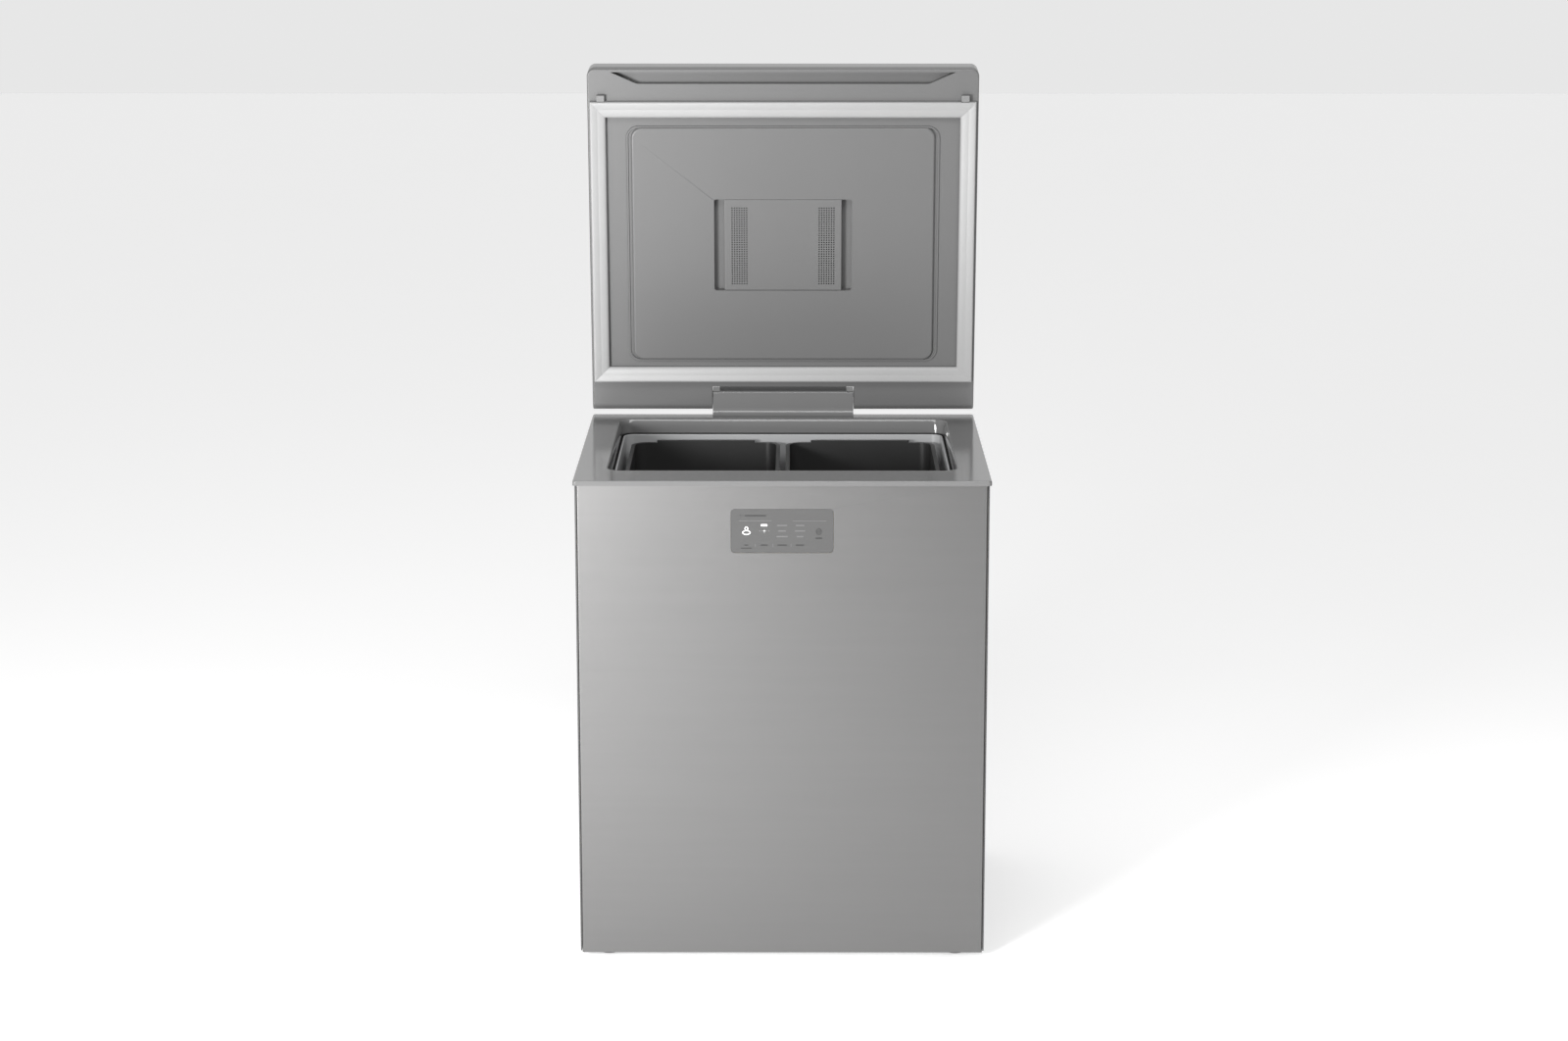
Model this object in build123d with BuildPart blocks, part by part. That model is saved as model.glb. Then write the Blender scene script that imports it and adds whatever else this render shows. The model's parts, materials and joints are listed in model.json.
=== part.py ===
from build123d import *
import os
from math import atan, cos, degrees, radians, sin, sqrt

# Top-opening chest freezer, standing open. Millimetres, +Z up, front towards -Y.
# The origin is on the floor, under the middle of the whole object with its lid open.

# Cabinet
frame_width = 668.0
frame_front = -307.5
frame_back = 262.5
frame_top = 800.0
frame_corner = 6.0
frame_skin = 3.0
lip_height = 8.0
lip_wall = 2.7
mouth_width = 559.2
mouth_front = -220.1
mouth_back = 208.1
mouth_corner = 20.0
mouth_bevel = 4.4
mouth_wall = 6.0
mouth_wall_foot = 777.0
sheet = 1.0
body_half = 330.5
body_back = 259.5
panel_face = -304.5
panel_half = 327.8
panel_foot = 9.0
panel_return = 8.5
panel_edge_radius = 2.7
side_foot = 12.0
panel_head = 796.5
fit_gap = 0.3

# Storage compartment
liner_half = 277.0
liner_front = -220.5
liner_back = 206.5
liner_wall = 3.5
liner_top = 775.0
liner_floor = 235.0
liner_corner = 20.0
foam_slot_foot = 762.0
foam_bottom = 186.0
coil_room = 9.0
coil_room_foot = 300.0
coil_room_head = 740.0

# Storage bins, two side by side on top of two more
bin_width = 257.0
bin_depth = 400.0
bin_centre_x = 133.5
bin_centre_y = -10.0
bin_height = 264.0
lower_bin_height = 260.0
lower_bin_rim_top = 495.4
bin_rim_top = 764.0
bin_rim_width = 4.0
bin_rim_height = 5.0
bin_wall = 2.5
bin_draft = 1.5
bin_corner = 22.0
bin_lug_length = 170.0
bin_lug_height = 4.0

# Control window
window_width = 164.0
window_height = 72.0
window_mid = 718.0
window_corner = 6.5
window_inset = 0.6

# Hinge and lid. Lid lengths run forwards from the hinge axis, depths inwards from it
hinge_y = 271.5
hinge_z = 832.0
open_angle = 84.5
shaft_radius = 4.0
shaft_clearance = 0.05
lid_half = 333.4
lid_rear = -22.5
lid_front = 580.6
lid_face = 20.0
lid_back = -34.0
lid_wall = 2.5
lid_corner = 13.0
lid_rear_radius = 12.0
lid_edge_radius = 2.5
notch_half = 124.0
notch_front = 21.2
bead_half = 268.3
bead_rear = 67.8
bead_front = 483.4
bead_height = 2.5
bead_width = 4.3
pan_half = 260.0
pan_rear = 71.2
pan_front = 480.8
pan_height = 6.0
pan_corner = 18.0
pan_edge = 4.0
recess_half = 118.5
recess_rear = 195.5
recess_front = 356.2
recess_depth = 16.0
grip_inner = 555.0
grip_outer = 575.0
grip_inner_half = 249.0
grip_outer_half = 294.0
grip_depth = 14.0
grip_corner = 14.0
gasket_half = 329.3
gasket_rear = 31.8
gasket_front = 525.5
gasket_width = 27.2
gasket_height = 11.6
cover_half = 101.0
cover_skirt = 12.0
housing_half = 123.1
housing_cap_length = 12.0
housing_front = 254.5
housing_wall = 2.5
housing_crown_radius = 4.5

# Machine room
pan_top = 13.5
pan_sheet = 1.5
pan_flange = 25.0
room_front = -295.0
foot_x = 285.0
foot_y = -265.0
foot_radius = 19.0
foot_stud = 4.0
roller_y = 215.0
roller_radius = 16.0
roller_width = 16.0
roller_axle = 2.4
compressor_x = 185.0
compressor_y = 110.0
fan_y = 100.0
fan_z = 98.0
fan_radius = 60.0
tube_radius = 2.5

frame_depth = frame_back - frame_front
frame_mid = (frame_back + frame_front) / 2
mouth_depth = mouth_back - mouth_front
mouth_mid = (mouth_back + mouth_front) / 2
liner_depth = liner_back - liner_front
liner_mid = (liner_back + liner_front) / 2
lid_mid = (lid_front + lid_rear) / 2
lid_length = lid_front - lid_rear
pan_mid = (pan_front + pan_rear) / 2
recess_mid = (recess_front + recess_rear) / 2
recess_length = recess_front - recess_rear

# In the lid's own plane X runs across, Y forwards from the axis and Z out of the inner face
lid_plane = Plane(
    origin=(0, hinge_y, hinge_z),
    x_dir=(1, 0, 0),
    z_dir=(0, -sin(radians(open_angle)), -cos(radians(open_angle))),
)


# Cabinet shell

with BuildPart() as top_frame:
    with BuildSketch(Plane.XY.offset(frame_top - lip_height)):
        with Locations((0, frame_mid)):
            RectangleRounded(frame_width, frame_depth, frame_corner)
    extrude(amount=lip_height)
    fillet(top_frame.edges().group_by(Axis.Z)[-1], 2.5)
    with BuildSketch(Plane.XY.offset(frame_top - lip_height)):
        with Locations((0, frame_mid)):
            Rectangle(frame_width - 2 * lip_wall, frame_depth - 2 * lip_wall)
    extrude(amount=lip_height - frame_skin, mode=Mode.SUBTRACT)
    with BuildSketch(Plane.XY.offset(mouth_wall_foot)):
        with Locations((0, mouth_mid)):
            RectangleRounded(
                mouth_width + 2 * mouth_wall,
                mouth_depth + 2 * mouth_wall,
                mouth_corner + mouth_wall,
            )
    extrude(amount=frame_top - frame_skin - mouth_wall_foot)
    with BuildSketch(Plane.XY.offset(mouth_wall_foot)):
        with Locations((0, mouth_mid)):
            RectangleRounded(mouth_width, mouth_depth, mouth_corner)
    extrude(amount=frame_top - mouth_wall_foot, mode=Mode.SUBTRACT)
    with BuildSketch(Plane.XY.offset(frame_top - lip_height)):
        with Locations((0, mouth_mid)):
            RectangleRounded(mouth_width, mouth_depth, mouth_corner)
    extrude(
        amount=lip_height,
        taper=-degrees(atan(mouth_bevel / lip_height)),
        mode=Mode.SUBTRACT,
    )
    mouth_edges = top_frame.edges().filter_by_position(Axis.Z, frame_top - 0.1, frame_top + 0.1)
    fillet(mouth_edges.filter_by_position(Axis.X, -300, 300).filter_by_position(Axis.Y, -240, 230), 1.2)
top_frame.part.label = "top_frame"
export_step(top_frame.part, "parts/top_frame.step")

# Folded sheet front with returns along both sides and the foot
with BuildPart() as front_panel:
    with BuildSketch(Plane.XY.offset(panel_foot)):
        with Locations((0, panel_face + panel_return / 2)):
            Rectangle(2 * panel_half, panel_return)
    extrude(amount=panel_head - panel_foot)
    front_corners = front_panel.edges().filter_by(Axis.Z).group_by(Axis.Y)[0]
    fillet(front_corners, panel_edge_radius)
    with BuildSketch(Plane.XY.offset(panel_foot + sheet)) as panel_inside:
        with Locations((0, panel_face + sheet + panel_return / 2)):
            Rectangle(2 * (panel_half - sheet), panel_return)
        inside_corners = panel_inside.vertices().group_by(Axis.Y)[0]
        fillet(inside_corners, panel_edge_radius - sheet)
    extrude(amount=panel_head - panel_foot, mode=Mode.SUBTRACT)
    with BuildSketch(Plane.XZ.offset(-panel_face - 2 * sheet)):
        with Locations((0, window_mid)):
            RectangleRounded(window_width, window_height, window_corner)
    extrude(amount=3 * sheet, mode=Mode.SUBTRACT)
front_panel.part.label = "front_panel"
export_step(front_panel.part, "parts/front_panel.step")

side_fold_width = body_half - panel_half - fit_gap
for side, side_name in ((-1, "left"), (1, "right")):
    with BuildPart() as side_panel:
        with BuildSketch(Plane.XY.offset(side_foot)):
            with Locations((side * (body_half - sheet / 2), (panel_face + fit_gap + body_back) / 2)):
                Rectangle(sheet, body_back - panel_face - fit_gap)
            with Locations((side * (body_half - side_fold_width / 2), panel_face + fit_gap + sheet / 2)):
                Rectangle(side_fold_width, sheet)
        extrude(amount=panel_head - side_foot)
    side_panel.part.label = f"side_panel_{side_name}"
    export_step(side_panel.part, f"parts/side_panel_{side_name}.step")

back_half = body_half - sheet - fit_gap
hinge_screw_x = (-80.0, -40.0, 40.0, 80.0)
hinge_screw_z = 783.0
with BuildPart() as rear_panel:
    with BuildSketch(Plane.XZ.offset(-body_back)):
        with Locations((0, (foam_bottom + panel_head) / 2)):
            Rectangle(2 * back_half, panel_head - foam_bottom)
        with Locations(*[(x, hinge_screw_z) for x in hinge_screw_x]):
            Circle(2.6, mode=Mode.SUBTRACT)
    extrude(amount=sheet)
    # stiffening ribs pressed into the sheet
    with BuildSketch(Plane.XZ.offset(-body_back)):
        with GridLocations(150, 1, 4, 1):
            with Locations((0, 470)):
                SlotOverall(480, 10, rotation=90)
    extrude(amount=-0.9)
rear_panel.part.label = "rear_panel"
export_step(rear_panel.part, "parts/rear_panel.step")

# Storage compartment

with BuildPart() as inner_liner:
    with BuildSketch(Plane.XY.offset(liner_floor - liner_wall)):
        with Locations((0, liner_mid)):
            RectangleRounded(2 * liner_half, liner_depth, liner_corner)
    extrude(amount=liner_top - liner_floor + liner_wall)
    with BuildSketch(Plane.XY.offset(liner_floor)):
        with Locations((0, liner_mid)):
            RectangleRounded(
                2 * (liner_half - liner_wall),
                liner_depth - 2 * liner_wall,
                liner_corner - liner_wall,
            )
    extrude(amount=liner_top - liner_floor, mode=Mode.SUBTRACT)
    fillet(inner_liner.edges().filter_by_position(Axis.Z, liner_floor - 0.1, liner_floor + 0.1), 9)
    fillet(inner_liner.edges().group_by(Axis.Z)[-1], 1.2)
inner_liner.part.label = "inner_liner"
export_step(inner_liner.part, "parts/inner_liner.step")

# Seal strip in the gap between liner and frame, stepped to close the space under the frame's wall
seal_foot = 763.0
seal_step = 771.0
seal_head = mouth_wall_foot - 0.2
with BuildPart() as mouth_seal:
    with BuildSketch(Plane.XY.offset(seal_foot)):
        with Locations((0, mouth_mid)):
            RectangleRounded(
                mouth_width + 2 * mouth_wall,
                mouth_depth + 2 * mouth_wall,
                mouth_corner + mouth_wall,
            )
    extrude(amount=seal_head - seal_foot)
    with BuildSketch(Plane.XY.offset(seal_step)):
        with Locations((0, mouth_mid)):
            RectangleRounded(mouth_width, mouth_depth, mouth_corner)
    extrude(amount=seal_head - seal_step, mode=Mode.SUBTRACT)
    with BuildSketch(Plane.XY.offset(seal_foot)):
        with Locations((0, liner_mid)):
            RectangleRounded(2 * liner_half + 0.1, liner_depth + 0.1, liner_corner + 0.05)
    extrude(amount=seal_head - seal_foot, mode=Mode.SUBTRACT)
mouth_seal.part.label = "mouth_seal"
export_step(mouth_seal.part, "parts/mouth_seal.step")

control_room_height = 66.0
control_room_width = 156.0
control_room_depth = 24.0
with BuildPart() as insulation_foam:
    with BuildSketch(Plane.XY.offset(foam_bottom)):
        foam_rear_start = panel_face + panel_return + fit_gap
        foam_back = body_back - sheet - fit_gap
        with Locations((0, (foam_rear_start + foam_back) / 2)):
            Rectangle(2 * back_half, foam_back - foam_rear_start)
        with Locations((0, (panel_face + sheet + fit_gap + foam_rear_start) / 2)):
            Rectangle(2 * (panel_half - panel_edge_radius), panel_return - sheet)
    extrude(amount=frame_top - frame_skin - 0.2 - foam_bottom)
    with BuildSketch(Plane.XY.offset(foam_slot_foot)):
        with Locations((0, mouth_mid)):
            Rectangle(mouth_width + 2 * mouth_wall + 0.4, mouth_depth + 2 * mouth_wall + 0.4)
    extrude(amount=frame_top, mode=Mode.SUBTRACT)
    with BuildSketch(Plane.XY.offset(liner_floor - liner_wall)):
        with Locations((0, liner_mid)):
            RectangleRounded(2 * liner_half, liner_depth, liner_corner)
    extrude(amount=frame_top, mode=Mode.SUBTRACT)
    with BuildSketch(Plane.XY.offset(coil_room_foot)):
        with Locations((0, liner_mid)):
            Rectangle(2 * (liner_half + coil_room), liner_depth + 2 * coil_room)
    extrude(amount=coil_room_head - coil_room_foot, mode=Mode.SUBTRACT)
    with BuildSketch(Plane.XZ.offset(-panel_face - sheet)):
        with Locations((0, window_mid)):
            Rectangle(control_room_width + 0.6, control_room_height + 0.6)
    extrude(amount=-control_room_depth - 0.6, mode=Mode.SUBTRACT)
    with BuildSketch(Plane.XZ.offset(-panel_face - sheet)):
        with Locations((0, window_mid)):
            Rectangle(window_width, window_height)
    extrude(amount=-3, mode=Mode.SUBTRACT)
insulation_foam.part.label = "insulation_foam"
export_step(insulation_foam.part, "parts/insulation_foam.step")

# One tube wound five times round the liner, climbing along its left side
coil_offset = coil_room / 2
coil_left = -liner_half - coil_offset
coil_right = liner_half + coil_offset
coil_front = liner_front - coil_offset
coil_back = liner_back + coil_offset
coil_turns = 5
coil_pitch = 85.0
coil_foot = 320.0
coil_points = []
for turn in range(coil_turns):
    level = coil_foot + turn * coil_pitch
    coil_points.append((coil_left, coil_front, level))
    coil_points.append((coil_right, coil_front, level))
    coil_points.append((coil_right, coil_back, level))
    coil_points.append((coil_left, coil_back, level))
with BuildPart() as evaporator_tube:
    with BuildLine() as coil_path:
        FilletPolyline(*coil_points, radius=24)
    with BuildSketch(Plane(origin=coil_path.line @ 0, z_dir=coil_path.line % 0)):
        Circle(3.5)
    sweep()
evaporator_tube.part.label = "evaporator_tube"
export_step(evaporator_tube.part, "parts/evaporator_tube.step")

with BuildPart() as sensor_cover:
    with BuildSketch(Plane.XZ.offset(-liner_back + liner_wall)):
        with Locations((0, 560)):
            RectangleRounded(36, 60, 6)
    extrude(amount=7)
    fillet(sensor_cover.faces().sort_by(Axis.Y)[0].edges(), 3)
    with BuildSketch(Plane.XZ.offset(-liner_back + liner_wall)):
        with Locations((0, 560)):
            with GridLocations(1, 9, 1, 5):
                SlotOverall(24, 3)
    extrude(amount=8, mode=Mode.SUBTRACT)
sensor_cover.part.label = "sensor_cover"
export_step(sensor_cover.part, "parts/sensor_cover.step")


# An open box with drafted walls, a stepped rim and a raised grip lug at each end
def storage_bin(centre_x, rim_top, height):
    body_width = bin_width - 2 * bin_rim_width
    body_depth = bin_depth - 2 * bin_rim_width
    with BuildPart() as bin_builder:
        with BuildSketch(Plane.XY.offset(rim_top)):
            with Locations((centre_x, bin_centre_y)):
                RectangleRounded(body_width, body_depth, bin_corner)
        extrude(amount=-height, taper=bin_draft)
        fillet(bin_builder.edges().group_by(Axis.Z)[0], 8)
        with BuildSketch(Plane.XY.offset(rim_top - bin_rim_height)):
            with Locations((centre_x, bin_centre_y)):
                RectangleRounded(bin_width, bin_depth, bin_corner + bin_rim_width)
        extrude(amount=bin_rim_height)
        for end in (-1, 1):
            with BuildSketch(Plane.XY.offset(rim_top)):
                with Locations((centre_x, bin_centre_y + end * (bin_depth / 2 - 3.5))):
                    RectangleRounded(bin_lug_length, 7, 3)
            extrude(amount=bin_lug_height)
        with BuildSketch(Plane.XY.offset(rim_top + bin_lug_height)):
            with Locations((centre_x, bin_centre_y)):
                RectangleRounded(
                    body_width - 2 * bin_wall,
                    body_depth - 2 * bin_wall,
                    bin_corner - bin_wall,
                )
        extrude(amount=-height - bin_lug_height + 3, taper=bin_draft, mode=Mode.SUBTRACT)
    return bin_builder.part


for side, side_name in ((-1, "left"), (1, "right")):
    with BuildPart() as upper_bin:
        add(storage_bin(side * bin_centre_x, bin_rim_top, bin_height))
    upper_bin.part.label = f"bin_{side_name}"
    export_step(upper_bin.part, f"parts/bin_{side_name}.step")
    with BuildPart() as lower_bin:
        add(storage_bin(side * bin_centre_x, lower_bin_rim_top, lower_bin_height))
    lower_bin.part.label = f"lower_bin_{side_name}"
    export_step(lower_bin.part, f"parts/lower_bin_{side_name}.step")

# Controls

window_face = panel_face + window_inset
with BuildPart() as control_window:
    with BuildSketch(Plane.XZ.offset(-window_face)):
        with Locations((0, window_mid)):
            RectangleRounded(window_width - 0.4, window_height - 0.4, window_corner - 0.2)
    extrude(amount=-2.4)
    fillet(control_window.faces().sort_by(Axis.Y)[0].edges(), 0.4)
control_window.part.label = "control_window"
export_step(control_window.part, "parts/control_window.step")

housing_face = window_face + 2.4
housing_depth = control_room_depth - 3.4
with BuildPart() as control_housing:
    with BuildSketch(Plane.XZ.offset(-housing_face)):
        with Locations((0, window_mid)):
            Rectangle(control_room_width, control_room_height)
    extrude(amount=-housing_depth)
    with BuildSketch(Plane.XZ.offset(-housing_face)):
        with Locations((0, window_mid)):
            Rectangle(control_room_width - 4, control_room_height - 4)
    extrude(amount=-housing_depth + 2, mode=Mode.SUBTRACT)
control_housing.part.label = "control_housing"
export_step(control_housing.part, "parts/control_housing.step")

with BuildPart() as control_board:
    with BuildSketch(Plane.XZ.offset(-housing_face)):
        with Locations((0, window_mid)):
            Rectangle(148, 58)
    extrude(amount=-1.6)
    with BuildSketch(Plane.XZ.offset(-housing_face)):
        with Locations((0, window_mid)):
            with GridLocations(42, 26, 3, 2):
                Rectangle(16, 9)
    extrude(amount=-6)
control_board.part.label = "control_board"
export_step(control_board.part, "parts/control_board.step")

# Hinge on the cabinet


# Cross-section of the hinge housing, standing on the frame and wrapping down behind it
def housing_section(front, crown_front, crown_back, back, foot_front, foot_back):
    with BuildSketch() as section:
        with BuildLine():
            Polyline(
                (front, foot_front),
                (front, crown_front),
                (back - 2, crown_back),
                (back, crown_back - 4),
                (back, foot_back),
                (frame_back + 0.4, foot_back),
                (frame_back + 0.4, foot_front),
                (front, foot_front),
            )
        make_face()
        crown = section.vertices().sort_by_distance((front, crown_front))[0]
        fillet(crown, housing_crown_radius)
    return section.sketch


housing_back = 292.0
housing_foot = 772.0
flare_radius = 12.0
with BuildPart() as hinge_housing:
    with BuildSketch(Plane.YZ.offset(-housing_half)):
        add(housing_section(housing_front, 841.0, 843.5, housing_back, frame_top, housing_foot))
    extrude(amount=2 * housing_half)
    with BuildSketch(Plane.YZ.offset(-housing_half + housing_cap_length)):
        add(housing_section(housing_front, 841.5, 848.5, housing_back, frame_top, housing_foot))
    extrude(amount=2 * (housing_half - housing_cap_length))
    with BuildSketch(Plane.YZ.offset(-housing_half)):
        with BuildLine():
            Line((housing_front, frame_top), (housing_front - flare_radius, frame_top))
            RadiusArc(
                (housing_front - flare_radius, frame_top),
                (housing_front, frame_top + flare_radius),
                -flare_radius,
            )
            Line((housing_front, frame_top + flare_radius), (housing_front, frame_top))
        make_face()
    extrude(amount=2 * housing_half)
    with BuildSketch(Plane.YZ.offset(-housing_half + housing_wall)):
        add(
            housing_section(
                housing_front + housing_wall,
                838.5,
                841.0,
                housing_back - housing_wall,
                frame_top - 1,
                housing_foot - 1,
            )
        )
    extrude(amount=2 * (housing_half - housing_wall), mode=Mode.SUBTRACT)
    with BuildSketch(Plane.YZ.offset(-housing_half - 1)):
        with Locations((hinge_y, hinge_z)):
            Circle(shaft_radius + 0.8)
    extrude(amount=2 * housing_half + 2, mode=Mode.SUBTRACT)
hinge_housing.part.label = "hinge_housing"
export_step(hinge_housing.part, "parts/hinge_housing.step")

ear_x = 108.0
ear_sheet = 3.0
bush_radius = 5.5
bracket_front = frame_back + 0.5
with BuildPart() as hinge_bracket:
    with BuildSketch(Plane.XZ.offset(-bracket_front)):
        with Locations((0, (776 + 822) / 2)):
            Rectangle(2 * ear_x, 822 - 776)
        with Locations(*[(x, hinge_screw_z) for x in hinge_screw_x]):
            Circle(2.6, mode=Mode.SUBTRACT)
    extrude(amount=-ear_sheet)
    for side in (-1, 1):
        with BuildSketch(Plane.YZ.offset(side * (ear_x - ear_sheet / 2) - ear_sheet / 2)):
            with Locations((hinge_y, 820)):
                RectangleRounded(26, 36, 6)
            with Locations((hinge_y, hinge_z)):
                Circle(bush_radius, mode=Mode.SUBTRACT)
        extrude(amount=ear_sheet)
    # relief so that the plate stays behind the shaft and its springs
    with BuildSketch(Plane.YZ.offset(-ear_x + ear_sheet)):
        with Locations((hinge_y, hinge_z)):
            Circle(8.5)
    extrude(amount=2 * (ear_x - ear_sheet), mode=Mode.SUBTRACT)
hinge_bracket.part.label = "hinge_bracket"
export_step(hinge_bracket.part, "parts/hinge_bracket.step")

with BuildPart() as hinge_bushes:
    for side in (-1, 1):
        with BuildSketch(Plane.YZ.offset(side * (ear_x - ear_sheet / 2) - 3)):
            with Locations((hinge_y, hinge_z)):
                Circle(bush_radius)
        extrude(amount=6)
        with BuildSketch(Plane.YZ.offset(side * (ear_x - 4) - 0.6 - side * 0.4)):
            with Locations((hinge_y, hinge_z)):
                Circle(6.3)
        extrude(amount=1.2)
    with BuildSketch(Plane.YZ.offset(-housing_half)):
        with Locations((hinge_y, hinge_z)):
            Circle(shaft_radius + shaft_clearance)
    extrude(amount=2 * housing_half, mode=Mode.SUBTRACT)
hinge_bushes.part.label = "hinge_bushes"
export_step(hinge_bushes.part, "parts/hinge_bushes.step")

spring_wire = 1.1
spring_pitch = 5.5
spring_coil = 5.9
spring_length = 66.0
spring_start = 24.0
with BuildPart() as hinge_springs:
    for side in (-1, 1):
        with BuildLine() as spring_path:
            Helix(
                spring_pitch,
                spring_length,
                spring_coil,
                center=(side * spring_start, hinge_y, hinge_z),
                direction=(side, 0, 0),
            )
        with BuildSketch(Plane(origin=spring_path.line @ 0, z_dir=spring_path.line % 0)):
            Circle(spring_wire)
        sweep(is_frenet=True)
hinge_springs.part.label = "hinge_springs"
export_step(hinge_springs.part, "parts/hinge_springs.step")

with BuildPart() as hinge_screws:
    with BuildSketch(Plane.XZ.offset(-body_back + sheet)):
        with Locations(*[(x, hinge_screw_z) for x in hinge_screw_x]):
            Circle(2.5)
    extrude(amount=-(bracket_front + ear_sheet - body_back + sheet))
    with BuildSketch(Plane.XZ.offset(-bracket_front - ear_sheet)):
        with Locations(*[(x, hinge_screw_z) for x in hinge_screw_x]):
            Circle(5)
            RegularPolygon(2.2, 6, mode=Mode.SUBTRACT)
    extrude(amount=-3)
hinge_screws.part.label = "hinge_screws"
export_step(hinge_screws.part, "parts/hinge_screws.step")

# Lid


# Lid outline, inset by a wall, with the notch that swings round the hinge housing
def lid_outline(inset):
    with BuildSketch() as outline:
        with Locations((0, lid_mid)):
            RectangleRounded(
                2 * (lid_half - inset),
                lid_length - 2 * inset,
                lid_corner - inset,
            )
        with Locations((0, lid_rear + inset + 15)):
            Rectangle(2 * (lid_half - inset), 30)
        with Locations((0, (lid_rear + notch_front) / 2)):
            Rectangle(
                2 * (notch_half + inset),
                notch_front - lid_rear + 2 * inset,
                mode=Mode.SUBTRACT,
            )
    return outline.sketch


# Finger grip: a long pocket whose ends slant outwards towards the front
def grip_outline(grow, front):
    slant = (grip_outer_half - grip_inner_half) / (grip_outer - grip_inner)
    reach = grow * sqrt(1 + slant**2)
    inner_half = grip_inner_half - slant * grow + reach
    outer_half = grip_inner_half + slant * (front - grip_inner) + reach
    with BuildSketch() as grip:
        with BuildLine():
            Polyline(
                (-inner_half, grip_inner - grow),
                (inner_half, grip_inner - grow),
                (outer_half, front),
                (-outer_half, front),
                (-inner_half, grip_inner - grow),
            )
        make_face()
        fillet(grip.vertices().group_by(Axis.Y)[0], grip_corner + grow)
    return grip.sketch


# True where the middle of an edge lies at this depth out of the lid, and at this length along it
def at_lid_place(edge, depth, along=None):
    place = lid_plane.to_local_coords(edge.center())
    return abs(place.Z - depth) < 0.1 and (along is None or abs(place.Y - along) < 0.1)


# The inner half of the lid as a solid; made again with a wall's inset it is the hollow inside
def lid_inner_volume(inset):
    with BuildPart() as volume:
        with BuildSketch(lid_plane):
            add(lid_outline(inset))
        extrude(amount=lid_face - inset)
        cross_edges = volume.edges().filter_by(Axis.X)
        fillet(
            cross_edges.filter_by(lambda edge: at_lid_place(edge, lid_face - inset, lid_rear + inset)),
            lid_rear_radius - inset,
        )
        with BuildSketch(lid_plane.offset(lid_face - inset)):
            with Locations((0, pan_mid)):
                RectangleRounded(
                    2 * (pan_half - inset),
                    pan_front - pan_rear - 2 * inset,
                    pan_corner - inset,
                )
        extrude(amount=pan_height)
        pan_crown = volume.edges().filter_by(
            lambda edge: at_lid_place(edge, lid_face + pan_height - inset)
        )
        fillet(pan_crown, pan_edge)
        with BuildSketch(lid_plane.offset(lid_face + pan_height - recess_depth - inset)):
            with Locations((0, recess_mid)):
                RectangleRounded(2 * (recess_half + inset), recess_length + 2 * inset, 4)
        extrude(amount=recess_depth + inset, mode=Mode.SUBTRACT)
        with BuildSketch(lid_plane.offset(lid_face - grip_depth - inset)):
            add(grip_outline(inset, lid_front if inset else grip_outer))
        extrude(amount=grip_depth + inset, mode=Mode.SUBTRACT)
    return volume.part


# The outer half of the lid as a solid, and with a wall's inset its hollow
def lid_outer_volume(inset):
    with BuildPart() as volume:
        with BuildSketch(lid_plane):
            add(lid_outline(inset))
        extrude(amount=lid_back + inset)
        fillet(
            volume.edges().filter_by(lambda edge: at_lid_place(edge, lid_back + inset)),
            2.8 if inset else 3.0,
        )
    return volume.part


shaft_bore = shaft_radius + shaft_clearance
with BuildPart() as lid_inner_panel:
    add(lid_inner_volume(0))
    add(lid_inner_volume(lid_wall), mode=Mode.SUBTRACT)
    front_edge = lid_inner_panel.edges().filter_by(Axis.X).filter_by(
        lambda edge: at_lid_place(edge, lid_face, lid_front)
    )
    fillet(front_edge, lid_edge_radius)
    with BuildSketch(lid_plane.offset(lid_face)):
        with Locations((0, (bead_rear + bead_front) / 2)):
            RectangleRounded(2 * bead_half, bead_front - bead_rear, 21)
            RectangleRounded(
                2 * (bead_half - bead_width),
                bead_front - bead_rear - 2 * bead_width,
                21 - bead_width,
                mode=Mode.SUBTRACT,
            )
    extrude(amount=bead_height, taper=20)
    with BuildSketch(Plane.YZ.offset(-notch_half - lid_wall - 1)):
        with Locations((hinge_y, hinge_z)):
            Circle(shaft_bore)
    extrude(amount=2 * (notch_half + lid_wall + 1), mode=Mode.SUBTRACT)
lid_inner_panel.part.label = "lid_inner_panel"
export_step(lid_inner_panel.part, "parts/lid_inner_panel.step")

with BuildPart() as lid_outer_panel:
    add(lid_outer_volume(0))
    add(lid_outer_volume(lid_wall), mode=Mode.SUBTRACT)
    with BuildSketch(Plane.YZ.offset(-notch_half - lid_wall - 1)):
        with Locations((hinge_y, hinge_z)):
            Circle(shaft_bore)
    extrude(amount=2 * (notch_half + lid_wall + 1), mode=Mode.SUBTRACT)
lid_outer_panel.part.label = "lid_outer_panel"
export_step(lid_outer_panel.part, "parts/lid_outer_panel.step")

plate_start = 128.0
plate_sheet = 3.0
plate_flange = 38.0
plate_rear = -14.0
plate_front = 92.0
plate_inner = 10.0
plate_outer = -14.0
plate_room = 2.0
with BuildPart() as lid_foam:
    add(lid_inner_volume(lid_wall + 0.1))
    add(lid_outer_volume(lid_wall + 0.1))
    for side in (-1, 1):
        with BuildSketch(lid_plane.offset(plate_outer - plate_room)):
            with Locations((side * (notch_half + 25), (plate_rear + plate_front) / 2)):
                Rectangle(50, plate_front - plate_rear + 2 * plate_room)
        extrude(amount=plate_inner - plate_outer + 2 * plate_room, mode=Mode.SUBTRACT)
lid_foam.part.label = "lid_foam"
export_step(lid_foam.part, "parts/lid_foam.step")

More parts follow.
